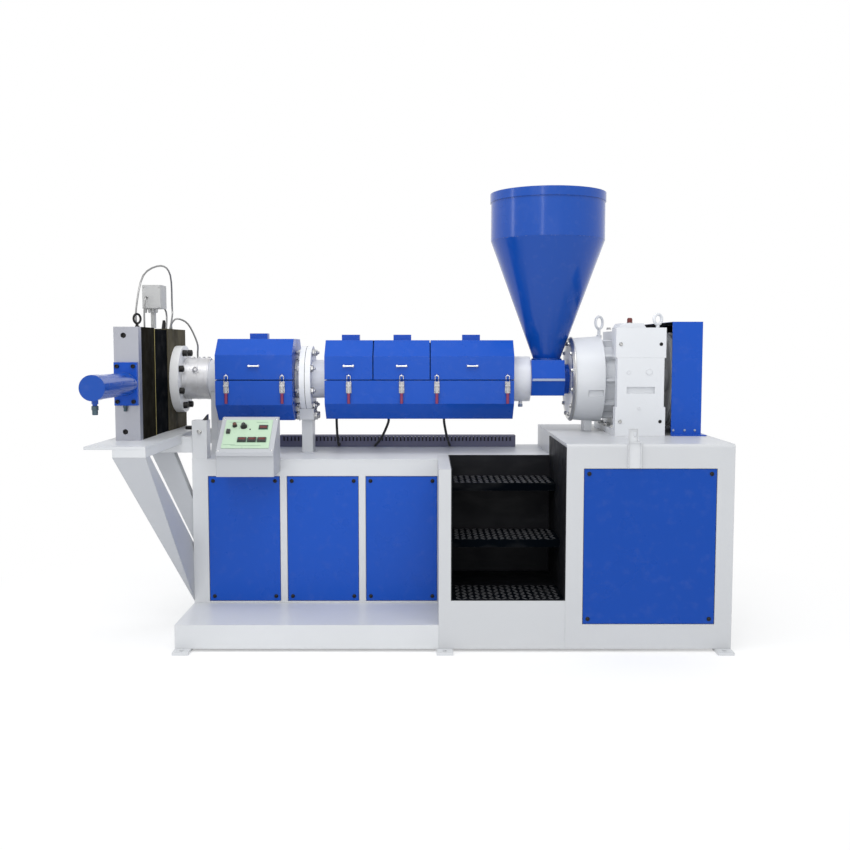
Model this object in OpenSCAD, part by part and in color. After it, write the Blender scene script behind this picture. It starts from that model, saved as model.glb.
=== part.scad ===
// Plastic pelletizing extruder: a heated single-screw barrel on a panelled base, with a feed hopper,
// a gearbox and belt drive, and a hydraulic screen changer on a braced shelf. Millimetres, +Z up.
// Places are worked out in machine coordinates (x from the left end of the base, y from its front,
// z from the floor) and then shifted so that the origin is the bottom centre of the whole machine.

/* [Base] */
// Width of the upright cheek beside the steps
cheek_w = 50; // [30:1:80]
// Clear width of the steps
step_w = 465; // [350:1:700]
// Length of the drive base
drive_len = 678; // [620:1:900]
// Depth of the base from front to back
base_depth = 1040; // [1000:1:1300]
// Height of the drive base above the floor
drive_h = 852; // [800:1:860]
// Height of the deck above the floor
deck_h = 750; // [720:1:780]
// Depth of the open ledge in front of the panels
ledge_depth = 360; // [300:1:390]
// Height of the ledge above the floor
ledge_h = 111; // [60:1:160]
// Thickness of the deck sheet
deck_t = 8; // [4:1:12]
// Radius of the drive base's front top edge
drive_edge_r = 14; // [5:1:25]

/* [Feet] */
// Thickness of the foot pads
foot_t = 12; // [8:1:25]
// Width of a foot pad
foot_w = 66; // [50:1:90]
// How far a foot pad shows beyond the base
foot_reach = 52; // [40:1:100]
// Length of a foot pad under the base
foot_under = 100; // [60:1:150]
// Radius of an anchor hole
anchor_r = 9; // [6:0.5:12]

/* [Panels] */
// Width of the frame at the left end of the panels
end_stile = 70; // [40:1:100]
// Width of the frame between two panels
panel_gap = 34; // [20:1:60]
// Height of the frame over the panels
top_rail = 76; // [50:1:100]
// Height of the frame under the panels
bottom_rail = 9; // [5:1:40]
// Thickness of a panel
panel_t = 10; // [4:1:15]
// Gap round a panel in its pocket
panel_fit = 2; // [1:0.5:4]
// Width of the frame at the sides of the drive panel
drive_stile = 72; // [40:1:90]
// Height of the frame over the drive panel
drive_rail = 101; // [60:1:140]
// Height of the frame under the drive panel
drive_sill = 104; // [60:1:140]

/* [Steps] */
// Height from one tread to the next
tread_rise = 218; // [180:1:235]
// Front-to-back depth of a tread
tread_depth = 240; // [180:1:280]
// How far each tread sets back from the one below
tread_back = 150; // [100:1:180]
// Thickness of the checker plate
tread_t = 6; // [4:1:10]
// Height of a tread's folded front edge
tread_lip = 34; // [20:1:60]
// Thickness of the black lining
lining_t = 4; // [3:1:8]

/* [Barrel] */
// Distance of the barrel axis behind the front of the base
axis_back = 690; // [660:1:720]
// Height of the barrel axis above the drive base
centre_h = 240; // [225:1:270]
// Distance of the front cover from the left end of the base
cover_inset = 76; // [66:1:110]
// Radius of the barrel
barrel_r = 89; // [70:1:100]
// Radius of the collar at the feed end
collar_r = 105; // [102:1:115]
// Length of the collar between the rear cover and the feed throat
collar_len = 80; // [50:1:120]
// Radius of the middle flanges
flange_r = 153; // [130:1:165]
// Thickness of one middle flange
flange_t = 26; // [15:1:35]
// Space between the middle flanges and the front cover
flange_front_gap = 25; // [20:1:50]
// Space between the middle flanges and the rear cover
flange_rear_gap = 68; // [40:1:100]
// Radius of the flange on the screen changer
adapter_r = 155; // [130:1:164]
// Thickness of the flange on the screen changer
adapter_t = 39; // [25:1:50]
// Length of bare barrel between the changer's flange and the front cover
nose_len = 175; // [140:1:220]
// Length of the heater band on the nose
band_len = 118; // [80:1:125]
// Thickness of the heater band
band_t = 5; // [3:1:8]

/* [Heater covers] */
// Length of the front cover
cover_1_len = 347; // [280:1:420]
// Half height and half depth of the front cover
cover_1_half = 186; // [175:1:195]
// Length of the rear cover's first lid
lid_a_len = 219; // [180:1:300]
// Length of the rear cover's second lid
lid_b_len = 258; // [180:1:320]
// Length of the rear cover's third lid
lid_c_len = 379; // [300:1:450]
// Half height and half depth of the rear cover
cover_2_half = 180; // [175:1:195]
// Size of the folded corners of the covers
cover_fold = 73; // [50:1:85]
// Thickness of the cover sheet
cover_wall = 4; // [2:0.5:6]
// Gap at the seams between lids and bases and from lid to lid
seam = 5; // [5:0.5:8]
// Gap between a lid's end and the barrel
lid_clear = 6; // [5:0.5:10]
// Radius of a hinge knuckle
knuckle_r = 6; // [5:0.5:8]
// Length of one hinge knuckle
knuckle_len = 30; // [20:1:40]
// Radius of a hinge pin
pin_r = 3; // [2:0.5:4]
// Play between a hinge pin and the lid's knuckle
pin_play = 0.3; // [0.2:0.05:0.5]
// Distance of the hinge pin behind the cover
hinge_back = 12; // [11:0.5:16]

/* [Feed] */
// Length of the feed throat
throat_len = 152; // [140:1:180]
// Length of the spigot between the feed throat and the bell housing
spigot_len = 29; // [20:1:50]
// Half depth of the feed throat at its joint
throat_half = 130; // [100:1:140]
// Height of the feed throat above the barrel axis
throat_top = 89; // [75:1:110]
// Depth of the feed throat below the barrel axis
throat_low = 74; // [60:1:100]
// Radius of the hopper at its rim
hopper_r = 262; // [200:1:300]
// Radius of the hopper at its outlet
outlet_r = 61; // [50:1:70]
// Height of the hopper cone
cone_h = 549; // [400:1:650]
// Height of the hopper drum
drum_h = 214; // [150:1:260]
// Thickness of the hopper sheet
hopper_wall = 4; // [2:0.5:6]
// Height of the band round the hopper rim
rim_h = 40; // [25:1:60]

/* [Drive] */
// Distance of the gearbox from the left end of the drive base
gearbox_inset = 260; // [220:1:300]
// Length of the gearbox case
gearbox_len = 219; // [200:1:240]
// Depth of the gearbox in front of the barrel axis
gearbox_front = 330; // [280:1:340]
// Depth of the gearbox behind the barrel axis
gearbox_rear = 210; // [205:1:300]
// Thickness of the gearbox's wide front wall
front_wall = 50; // [30:1:80]
// How far the front wall stands out to the left of the case
wall_step = 38; // [10:1:50]
// Height of the gearbox cap's joint above the barrel axis
cap_line = 102; // [80:1:130]
// Height of the gearbox above the barrel axis
gearbox_top = 233; // [215:1:260]
// Length of the bell housing
bell_len = 184; // [150:1:200]
// Length of the ribbed neck between the bell housing and the gearbox
neck_len = 56; // [30:1:70]
// Thickness of the bell housing's front ring
ring_t = 16; // [12:1:40]
// Bevel on the bell housing's front ring
ring_bevel = 10; // [5:1:11]
// Radius of the bell housing's front ring
ring_r = 196; // [180:1:210]
// Radius of the bell housing at the gearbox
bell_r = 200; // [190:1:215]
// Space between the gearbox and the belt guard
guard_gap = 31; // [15:1:40]
// Width of the belt guard
guard_w = 132; // [125:1:150]
// Half depth of the belt guard
guard_half = 310; // [280:1:330]
// Height of the belt guard
guard_h = 499; // [480:1:540]
// Thickness of the guard sheet
guard_wall = 5; // [3:0.5:8]
// Radius of the driven pulley
pulley_r = 215; // [180:1:225]
// Width of the driven pulley
pulley_w = 60; // [40:1:80]
// Distance of the input shaft in front of the barrel axis
input_shift = 74; // [60:1:85]
// Radius of the input shaft
shaft_r = 25; // [20:1:35]
// Number of belt grooves in the pulley
groove_count = 3; // [2:1:4]

/* [Screen changer] */
// Width of the screen changer
block_w = 101; // [80:1:130]
// Half height of the screen changer
block_half = 231; // [210:1:250]
// Half depth of the changer body about the barrel axis
body_half = 165; // [160:1:185]
// Depth of the slide guard
slide_d = 225; // [150:1:250]
// Depth of the yoke
yoke_d = 200; // [150:1:220]
// Thickness of the front plate
front_plate_t = 40; // [25:1:50]
// Length of the hydraulic cylinder
cylinder_len = 410; // [300:1:450]
// Radius of the hydraulic cylinder
cylinder_r = 48; // [35:1:55]
// Height of the cylinder's mounting plate
cylinder_plate_h = 175; // [140:1:220]
// Thickness of the cylinder's mounting plate
cylinder_plate_t = 20; // [12:1:30]

/* [Shelf] */
// Shelf overhang in front of the screen changer
shelf_front = 260; // [150:1:300]
// Shelf overhang to the left of the screen changer
shelf_left = 44; // [20:1:70]
// Shelf overhang to the right of the screen changer
shelf_right = 92; // [60:1:95]
// Thickness of the shelf plate
shelf_t = 12; // [8:1:20]
// Width of the rail under the shelf
rail_w = 128; // [80:1:140]
// Height of the rail under the shelf
rail_h = 30; // [20:1:50]
// Height of the cross beams under the shelf
beam_h = 70; // [50:1:80]
// Depth of the cross beams and posts
beam_d = 70; // [50:1:90]
// Width of a deck post
post_w = 66; // [50:1:67]
// Height of a deck post above the deck
post_h = 170; // [150:1:190]

/* [Control console] */
// Distance of the console from the left end of the base
console_x = 145; // [100:1:250]
// Width of the console
console_w = 242; // [180:1:300]
// How far the console stands out from the panels
console_reach = 200; // [150:1:240]
// Height of the console's front box
console_box_h = 88; // [60:1:100]
// Height of the console's front lip
console_lip = 16; // [10:1:25]
// Height of the console's sloping face
console_rise = 136; // [100:1:160]
// Width of the flat top behind the sloping face
console_top = 30; // [20:1:60]

/* [Hidden] */
$fn = 64;

// Colours
white_paint = "gainsboro";
blue_paint = "royalblue";
black_paint = "dimgray";
bare_steel = "silver";

// Small fits
fit = 0.3;
pocket_depth = panel_t + 2;
hopper_right = 5;
sliver = 1;

// Places along the machine, from the front cover to the gearbox and the base under them
axis_h = drive_h + centre_h;
cover_1_x = cover_inset;
flange_x = cover_1_x + cover_1_len + flange_front_gap + flange_t;
cover_2_x = flange_x + flange_t + flange_rear_gap;
lid_a_x = cover_2_x;
lid_b_x = lid_a_x + lid_a_len;
lid_c_x = lid_b_x + lid_b_len;
cover_2_len = lid_a_len + lid_b_len + lid_c_len;
throat_x = cover_2_x + cover_2_len + seam + collar_len;
ring_x = throat_x + throat_len + spigot_len;
bell_x = ring_x + ring_t;
wall_x = bell_x + bell_len;
gearbox_x = wall_x - wall_step;
drive_x = gearbox_x - gearbox_inset;
left_len = drive_x - cheek_w - step_w;
base_len = drive_x + drive_len;
panel_w = (left_len - end_stile - 2 * panel_gap - 3) / 3;
panel_z0 = ledge_h + bottom_rail;
panel_z1 = deck_h - top_rail;
landing_y = tread_depth + 2 * tread_back;
inner_x0 = left_len + cheek_w + lining_t;
inner_x1 = drive_x - lining_t;

// Places from the front cover to the screen changer, and of the hopper
adapter_x = cover_1_x - nose_len;
block_x = adapter_x - adapter_t - block_w;
hopper_x = throat_x + throat_len / 2 + hopper_right;
throat_z = axis_h + throat_top;
input_y = axis_back - input_shift;

// Places of the screen changer and its shelf
body_y0 = axis_back - body_half;
slide_y0 = body_y0 - slide_d;
yoke_y0 = slide_y0 - yoke_d;
block_y0 = yoke_y0 - front_plate_t;
shelf_z = axis_h - block_half;
shelf_x0 = block_x - shelf_left;
shelf_x1 = block_x + block_w + shelf_right;
shelf_y0 = block_y0 - shelf_front;
shelf_y1 = axis_back + body_half;
beam_z1 = shelf_z - shelf_t;
block_cx = block_x + block_w / 2;

// Outer box of the machine, which sets the origin
x_min = shelf_x0;
x_max = base_len;
y_min = block_y0 - cylinder_plate_t - cylinder_len;
y_max = base_depth + foot_reach;
origin_x = (x_min + x_max) / 2;
origin_y = (y_min + y_max) / 2;

module placed() {
    translate([-origin_x, -origin_y, 0])
        children();
}

// A solid between two opposite corners
module slab(a, b) {
    translate(a)
        cube(b - a);
}

// An outline in y and z, drawn out along x
module along_x(x, len) {
    translate([x, 0, 0])
        rotate([90, 0, 90])
            linear_extrude(len)
                children();
}

// A round bar along x on the barrel axis
module axis_bar(x, len, r1, r2) {
    translate([x, axis_back, axis_h])
        rotate([0, 90, 0])
            cylinder(h = len, r1 = r1, r2 = r2, $fn = 96);
}

// A tube of 8 sides swept along points that a person chose
function unit(v) = v / norm(v);
function tangent(p, i) = unit(p[min(i + 1, len(p) - 1)] - p[max(i - 1, 0)]);
function side_of(t) = unit(cross(t, abs(t[1]) < 0.8 ? [0, 1, 0] : [1, 0, 0]));
function ring_at(c, t, r) = let (a = side_of(t), b = cross(t, a))
    [for (k = [0:7]) c + r * (cos(45 * k) * a + sin(45 * k) * b)];
module tube(points, r) {
    last = len(points) - 1;
    rings = [for (i = [0:last]) each ring_at(points[i], tangent(points, i), r)];
    walls = [for (i = [0:last - 1]) for (k = [0:7])
        [8 * i + k, 8 * i + (k + 1) % 8, 8 * i + 8 + (k + 1) % 8, 8 * i + 8 + k]];
    start = [[for (k = [7:-1:0]) k]];
    end = [[for (k = [0:7]) 8 * last + k]];
    polyhedron(concat(rings), concat(walls, start, end));
}

// Points on a smooth curve through chosen points
function spline_point(a, b, c, d, t) = 0.5 * (2 * b + (c - a) * t + (2 * a - 5 * b + 4 * c - d) * t * t
    + (3 * b - a - 3 * c + d) * t * t * t);
function smooth(p, n) = [for (i = [0:len(p) - 2]) for (k = [0:n - 1])
    spline_point(p[max(i - 1, 0)], p[i], p[i + 1], p[min(i + 2, len(p) - 1)], k / n), p[len(p) - 1]];

module foot_pad(x, y) {
    difference() {
        slab([x, y, 0], [x + foot_w, y + foot_under + foot_reach, foot_t]);
        translate([x + foot_w / 2, y < 0 ? y + foot_reach / 2 : y + foot_under + foot_reach / 2, -1])
            cylinder(h = foot_t + 2, r = anchor_r);
    }
}

foot_xs = [0, left_len + cheek_w / 2 - foot_w / 2, base_len - foot_w];

module foot_pads() {
    color(white_paint)
        placed()
            for (x = foot_xs) {
                foot_pad(x, -foot_reach);
                foot_pad(x, base_depth - foot_under);
            }
}

module plinth() {
    color(white_paint)
        placed()
            slab([0, 0, foot_t], [left_len, base_depth, ledge_h]);
}

function panel_x(i) = end_stile + i * (panel_w + panel_gap);

module panel_pocket(i, y0, y1) {
    slab([panel_x(i) - panel_fit, y0, panel_z0 - panel_fit],
        [panel_x(i) + panel_w + panel_fit, y1, panel_z1 + panel_fit]);
}

module left_frame() {
    color(white_paint)
        placed()
            difference() {
                slab([0, ledge_depth, ledge_h], [left_len, base_depth, deck_h - deck_t]);
                for (i = [0:2]) {
                    panel_pocket(i, ledge_depth - 1, ledge_depth + pocket_depth);
                    panel_pocket(i, base_depth - pocket_depth, base_depth + 1);
                }
            }
}

module deck_plate() {
    color(white_paint)
        placed()
            translate([0, 0, deck_h - deck_t])
                linear_extrude(deck_t)
                    polygon([[0, ledge_depth], [left_len, ledge_depth], [left_len, landing_y],
                        [drive_x, landing_y], [drive_x, base_depth], [0, base_depth]]);
}

module front_panel(i) {
    color(blue_paint)
        placed()
            slab([panel_x(i), ledge_depth + pocket_depth - panel_t, panel_z0],
                [panel_x(i) + panel_w, ledge_depth + pocket_depth, panel_z1]);
}

module panel_1() {
    front_panel(0);
}

module panel_2() {
    front_panel(1);
}

module panel_3() {
    front_panel(2);
}

drive_panel_x0 = drive_x + drive_stile;
drive_panel_x1 = base_len - drive_stile;
drive_panel_z0 = foot_t + drive_sill;
drive_panel_z1 = drive_h - drive_rail;

module rear_panels() {
    y1 = base_depth - pocket_depth + panel_t;
    color(blue_paint)
        placed() {
            for (i = [0:2])
                slab([panel_x(i), base_depth - pocket_depth, panel_z0], [panel_x(i) + panel_w, y1, panel_z1]);
            slab([drive_panel_x0, base_depth - pocket_depth, drive_panel_z0],
                [drive_panel_x1, y1, drive_panel_z1]);
        }
}

module step_frame() {
    tread_1_under = tread_rise - tread_t;
    color(white_paint)
        placed()
            union() {
                slab([left_len, 0, foot_t], [left_len + cheek_w, landing_y, deck_h]);
                slab([left_len, 0, foot_t], [drive_x, base_depth, tread_1_under]);
                slab([left_len, landing_y, foot_t], [drive_x, base_depth, deck_h - deck_t]);
            }
}

module step_lining() {
    z0 = tread_rise - tread_t;
    left = left_len + cheek_w;
    color(black_paint)
        placed()
            union() {
                slab([left, 0, z0], [inner_x0, landing_y, deck_h]);
                slab([left, landing_y - lining_t, z0], [drive_x, landing_y, deck_h]);
                slab([inner_x1, 0, z0], [drive_x, landing_y, drive_h - drive_edge_r]);
                slab([left, tread_depth - lining_t, z0], [drive_x, landing_y, z0 + lining_t]);
            }
}

module tread(i) {
    z = (i + 1) * tread_rise;
    y = i * tread_back;
    lip = i == 0 ? tread_t : tread_lip;
    union() {
        slab([inner_x0, y, z - tread_t], [inner_x1, y + tread_depth - lining_t, z]);
        slab([inner_x0, y, z - lip], [inner_x1, y + tread_t, z]);
    }
}

module step_treads() {
    color(black_paint)
        placed()
            for (i = [0:2])
                tread(i);
}

module drive_pocket(y0, y1) {
    slab([drive_panel_x0 - panel_fit, y0, drive_panel_z0 - panel_fit],
        [drive_panel_x1 + panel_fit, y1, drive_panel_z1 + panel_fit]);
}

module drive_base() {
    color(white_paint)
        placed()
            difference() {
                along_x(drive_x, drive_len)
                    difference() {
                        translate([0, foot_t])
                            square([base_depth, drive_h - foot_t]);
                        translate([0, drive_h - drive_edge_r])
                            difference() {
                                translate([-1, 0])
                                    square([drive_edge_r + 1, drive_edge_r + 1]);
                                translate([drive_edge_r, 0])
                                    circle(drive_edge_r);
                            }
                    }
                drive_pocket(-1, pocket_depth);
                drive_pocket(base_depth - pocket_depth, base_depth + 1);
            }
}

module drive_panel() {
    color(blue_paint)
        placed()
            slab([drive_panel_x0, pocket_depth - panel_t, drive_panel_z0],
                [drive_panel_x1, pocket_depth, drive_panel_z1]);
}

chute_w = 54;
chute_top_w = 39;
chute_rise = 64;
chute_t = 3;
chute_lip = 9;
chute_left = 14;
chute_slot = [12, 22];

module drain_chute() {
    x0 = gearbox_x - chute_left;
    z0 = drive_panel_z1 + chute_t;
    neck_z = drive_h + chute_lip;
    top = drive_h + chute_rise;
    slot_x0 = x0 + chute_top_w - 2 * chute_t - chute_slot[0];
    slot_z0 = top - chute_lip - 2 * chute_t - chute_slot[1];
    color(white_paint)
        placed()
            difference() {
                union() {
                    slab([x0, -chute_lip, z0], [x0 + chute_w, 0, neck_z]);
                    slab([x0, -chute_lip, z0], [x0 + chute_top_w, 0, top]);
                }
                slab([x0 + chute_t, -chute_lip - sliver, z0 - sliver],
                    [x0 + chute_w - chute_t, -chute_t, neck_z - chute_t]);
                slab([x0 + chute_t, -chute_lip - sliver, neck_z],
                    [x0 + chute_top_w - chute_t, -chute_t, top - chute_t]);
                slab([slot_x0, -chute_lip - sliver, slot_z0],
                    [slot_x0 + chute_slot[0], sliver, slot_z0 + chute_slot[1]]);
            }
}

duct_h = 56;
duct_d = 60;
duct_back = 62;
duct_wall = 3;
duct_slot = 7;
duct_pitch = 18;
duct_x0 = flange_x - 170;
duct_x1 = drive_x - 124;
duct_y0 = base_depth - duct_back - duct_d;

module cable_duct() {
    y1 = duct_y0 + duct_d;
    z1 = deck_h + duct_h;
    slot_count = floor((duct_x1 - duct_x0 - duct_pitch) / duct_pitch);
    color("slategray")
        placed()
            difference() {
                slab([duct_x0, duct_y0, deck_h], [duct_x1, y1, z1]);
                slab([duct_x0 - sliver, duct_y0 + duct_wall, deck_h + duct_wall],
                    [duct_x1 + sliver, y1 - duct_wall, z1 - 2 * duct_wall]);
                for (i = [1:slot_count])
                    slab([duct_x0 + i * duct_pitch, duct_y0 - sliver, deck_h + duct_h / 2],
                        [duct_x0 + i * duct_pitch + duct_slot, y1 + sliver, z1 - 2 * duct_wall]);
            }
}

module shelf_plate() {
    color(white_paint)
        placed()
            slab([shelf_x0, shelf_y0, beam_z1], [shelf_x1, shelf_y1, shelf_z]);
}

beam_ys = [ledge_depth + 5, shelf_y1 - beam_d];

module shelf_frame() {
    color(white_paint)
        placed()
            union() {
                slab([shelf_x1 - rail_w, shelf_y0, beam_z1 - rail_h], [shelf_x1, shelf_y1, beam_z1]);
                for (y = beam_ys)
                    slab([shelf_x0, y, beam_z1 - beam_h], [0, y + beam_d, beam_z1]);
            }
}

module deck_posts() {
    color(white_paint)
        placed()
            for (y = beam_ys)
                slab([0, y, deck_h], [post_w, y + beam_d, deck_h + post_h]);
}

brace_t = 60;
brace_foot = 230;
brace_low = 10;
brace_w = 100;
brace_deep = 0.59;
brace_top = 0.32;

// An outline in x and z, drawn out along y
module along_y(y, len) {
    translate([0, y + len, 0])
        rotate([90, 0, 0])
            linear_extrude(len)
                children();
}

module shelf_braces() {
    beam_under = beam_z1 - beam_h;
    rail_under = beam_z1 - rail_h;
    drop = beam_under - ledge_h;
    color(white_paint)
        placed() {
            hull() {
                slab([shelf_x1 - rail_w, shelf_y0, rail_under - sliver],
                    [shelf_x1, shelf_y0 + brace_t, rail_under]);
                slab([-sliver, ledge_depth, ledge_h + brace_low],
                    [0, ledge_depth + brace_t, ledge_h + brace_foot]);
            }
            along_y(beam_ys[0] + brace_low, beam_d - 2 * brace_low)
                polygon([[shelf_x0 + brace_w, beam_under], [shelf_x0 + 2 * brace_w, beam_under],
                    [0, beam_under - brace_top * drop], [0, beam_under - brace_deep * drop]]);
        }
}

console_y0 = ledge_depth - console_reach;
console_z0 = deck_h - top_rail + 23;
slope_z = console_z0 + console_box_h + console_lip;
slope_run = console_reach - console_top;
slope_len = norm([slope_run, console_rise]);
slope_angle = atan2(console_rise, slope_run);
face_t = 3;
face_side = 19;
face_low = 24;
meter_w = 36;
meter_pitch = 42;

module console_body() {
    y1 = ledge_depth;
    box_y0 = console_y0 + 8;
    color(white_paint)
        placed()
            along_x(console_x, console_w)
                polygon([[y1, console_z0], [box_y0, console_z0], [box_y0, console_z0 + console_box_h],
                    [console_y0, console_z0 + console_box_h], [console_y0, slope_z],
                    [y1 - console_top, slope_z + console_rise], [y1, slope_z + console_rise]]);
}

// Local frame of the sloping face: x across, y up the slope, z out of the face
module on_slope(height) {
    placed()
        translate([console_x, console_y0, slope_z])
            rotate([slope_angle, 0, 0])
                translate([0, 0, height])
                    children();
}

module console_face() {
    color("honeydew")
        on_slope(0)
            translate([face_side, face_low, 0])
                cube([console_w - 2 * face_side - 3, slope_len - 2 * face_low + 5, face_t]);
}

module console_controls() {
    color("black")
        on_slope(face_t) {
            translate([29, 0.51 * slope_len, 0])
                cube([16, 22, 8]);
            translate([60, 0.73 * slope_len, 0]) {
                cylinder(h = 4, r = 10);
                cylinder(h = 12, r = 8);
            }
            translate([99, 0.71 * slope_len, 0]) {
                cylinder(h = 3, r = 15);
                cylinder(h = 16, r1 = 11, r2 = 9);
            }
            translate([165, 0.64 * slope_len, 0])
                cube([37, 22, 4]);
            for (i = [0:2])
                translate([83 + meter_pitch * i, 0.275 * slope_len, 0])
                    cube([meter_w, 26, 5]);
        }
}

module changer_part(y0, y1, inset) {
    slab([block_x + inset, y0, shelf_z], [block_x + block_w - inset, y1, axis_h + block_half - inset]);
}

module changer_body() {
    color("dimgray")
        placed()
            changer_part(body_y0, axis_back + body_half, 0);
}

module slide_guard() {
    color("black")
        placed()
            changer_part(slide_y0, body_y0, 5);
}

module changer_yoke() {
    color("dimgray")
        placed()
            changer_part(yoke_y0, slide_y0, 0);
}

bore_r = 11;
bore_depth = 14;
bore_rise = 196;
bore_right = 40;

module changer_front_plate() {
    color(bare_steel)
        placed()
            difference() {
                changer_part(block_y0, yoke_y0, 0);
                for (rise = [-bore_rise, bore_rise])
                    translate([block_x + bore_right, block_y0 + bore_depth, axis_h + rise])
                        rotate([90, 0, 0])
                            cylinder(h = bore_depth + sliver, r = bore_r);
            }
}

module cylinder_plate() {
    inset = 4;
    color(blue_paint)
        placed()
            slab([block_x + inset, block_y0 - cylinder_plate_t, axis_h - cylinder_plate_h / 2],
                [block_x + block_w - inset, block_y0, axis_h + cylinder_plate_h / 2]);
}

cylinder_cap = 60;
neck_ring = 25;
port_len = 100;
port_r = 9;

module hydraulic_cylinder() {
    y1 = block_y0 - cylinder_plate_t;
    color(blue_paint)
        placed()
            translate([block_cx, y1, axis_h])
                rotate([90, 0, 0])
                    union() {
                        cylinder(h = cylinder_len, r = cylinder_r - 2);
                        cylinder(h = neck_ring, r = cylinder_r - 1);
                        translate([0, 0, cylinder_len - cylinder_cap])
                            cylinder(h = cylinder_cap, r = cylinder_r);
                        translate([0, 0, cylinder_len - cylinder_cap / 2])
                            rotate([90, 0, 0]) {
                                cylinder(h = port_len, r = port_r);
                                cylinder(h = cylinder_r + 12, r = port_r + 4, $fn = 6);
                            }
                    }
}

// A lifting eye on a round shank, with its ring across y
module eyebolt(ring_r_mid, bar_r, shank) {
    union() {
        cylinder(h = shank, r = bar_r * 1.2);
        cylinder(h = shank / 3, r = bar_r * 2);
        translate([0, 0, shank + ring_r_mid])
            rotate([90, 0, 0])
                rotate_extrude()
                    translate([ring_r_mid, 0])
                        circle(bar_r, $fn = 24);
    }
}

gland_h = 40;
gland_r = 12;
gland_in = 34;

module head_eyebolts() {
    top = axis_h + block_half;
    color("black")
        placed() {
            translate([block_x + block_w - gland_r, block_y0 + 30, top])
                rotate([0, 0, 60])
                    eyebolt(19, 4.5, 14);
            translate([block_x + block_w - gland_in, body_y0 + 70, top])
                cylinder(h = gland_h, r1 = gland_r, r2 = gland_r / 2);
        }
}

jbox_z = 82;
jbox_left = 53;
jbox_w = 80;
jbox_post_in = 14;
jbox_post_r = 11;
jbox_d = 90;
jbox_h = 100;

module junction_box() {
    top = axis_h + block_half;
    color("lightgray")
        placed()
            union() {
                translate([block_x + block_w - jbox_post_in, slide_y0 + jbox_d / 2, top - sliver])
                    cylinder(h = jbox_z + 2 * sliver, r = jbox_post_r);
                slab([block_x + jbox_left, slide_y0, top + jbox_z],
                    [block_x + jbox_left + jbox_w, slide_y0 + jbox_d, top + jbox_z + jbox_h]);
            }
}

// Routes of the conduits, from the changer's top right corner at the front of the slide guard
conduit_start = [block_x + block_w, slide_y0, axis_h + block_half];
conduit_1 = [[-32, -150, 0.4], [-32, -150, 77], [-22, -70, 217], [13, 80, 269], [23, 200, 237],
    [3, 300, 107], [3, 300, 60], [-8, 300, 0.4]];
conduit_2 = [[-27, -50, 0.4], [-27, -50, 67], [-27, -30, 125], [-27, -0.6, 127]];
conduit_3 = [[-22, 90.6, 122], [-17, 130, 125], [-12, 250, 77], [-12, 250, 0.4]];
lead_x = 96;
lead_y = axis_back - slide_y0;
lead_end = barrel_r + band_t - block_half + 0.4;
conduit_4 = [[-10, 340, 0.4], [-10, 340, 26], [14, 346, 48], [58, 372, 24], [lead_x - 2, lead_y, -60],
    [lead_x, lead_y, lead_end + 26], [lead_x, lead_y, lead_end]];

conduit_r = 4;

module heater_conduits() {
    color("gray")
        placed()
            for (route = [conduit_1, conduit_2, conduit_3, conduit_4])
                translate(conduit_start)
                    tube(smooth(route, 4), conduit_r);
}

// A cable from under the rear cover at x0 to the front of the duct at x1
cable_r = 6;
cable_gap = 1;
cable_back = 70;
cable_run = 150;
function cable(x0, x1) = let (top = axis_h - cover_2_half - cable_gap, low = deck_h + 2 * cable_r + cable_gap,
    y1 = duct_y0 - cable_gap, y0 = min(axis_back + cable_back, y1 - cable_run), drop = top - low)
    [[x0, y0, top], [x0, y0, top - 0.2 * drop],
        [x0 + 0.5 * (x1 - x0), y0 + 0.25 * (y1 - y0), low + 0.3 * drop], [x1, y1 - 48, low], [x1, y1, low]];
cable_ends = [[cover_2_x + 32, cover_2_x + 32], [lid_b_x + 59, lid_b_x - 7], [lid_c_x + 68, lid_c_x + 97]];

module heater_cables() {
    color("black")
        placed()
            for (ends = cable_ends)
                tube(smooth(cable(ends[0], ends[1]), 4), cable_r);
}

module adapter_flange() {
    color(white_paint)
        placed()
            axis_bar(adapter_x - adapter_t, adapter_t, adapter_r, adapter_r);
}

module nose_band() {
    color("darkgray")
        placed()
            difference() {
                axis_bar(adapter_x + 4, band_len, barrel_r + band_t, barrel_r + band_t);
                axis_bar(adapter_x, band_len + 10, barrel_r + fit, barrel_r + fit);
            }
}

support_t = 30;
support_half = 90;
support_waist = 70;

module front_support() {
    x0 = cover_1_x - 14 - support_t;
    color(white_paint)
        placed()
            difference() {
                along_x(x0, support_t)
                    polygon([[axis_back - support_half, deck_h], [axis_back + support_half, deck_h],
                        [axis_back + support_waist, deck_h + 60], [axis_back + support_waist, axis_h - 45],
                        [axis_back - support_waist, axis_h - 45], [axis_back - support_waist, deck_h + 60]]);
                axis_bar(x0 - 1, support_t + 2, barrel_r + fit, barrel_r + fit);
            }
}

module barrel_front() {
    color(white_paint)
        placed()
            union() {
                axis_bar(adapter_x, flange_x - adapter_x, barrel_r, barrel_r);
                axis_bar(flange_x - flange_t, flange_t, flange_r, flange_r);
            }
}

nipple_r = 9;
nipple_len = 26;

module barrel_rear() {
    color(white_paint)
        placed()
            union() {
                axis_bar(flange_x, throat_x - flange_x, barrel_r, barrel_r);
                axis_bar(flange_x, flange_t, flange_r, flange_r);
                axis_bar(throat_x - collar_len, collar_len, collar_r, collar_r);
                translate([throat_x - collar_len / 2, axis_back, axis_h - collar_r - nipple_len])
                    cylinder(h = nipple_len + collar_r / 2, r = nipple_r);
            }
}

saddle_h = 62;
saddle_half = 70;
saddle_x = 33;
post_half = 25;

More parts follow.
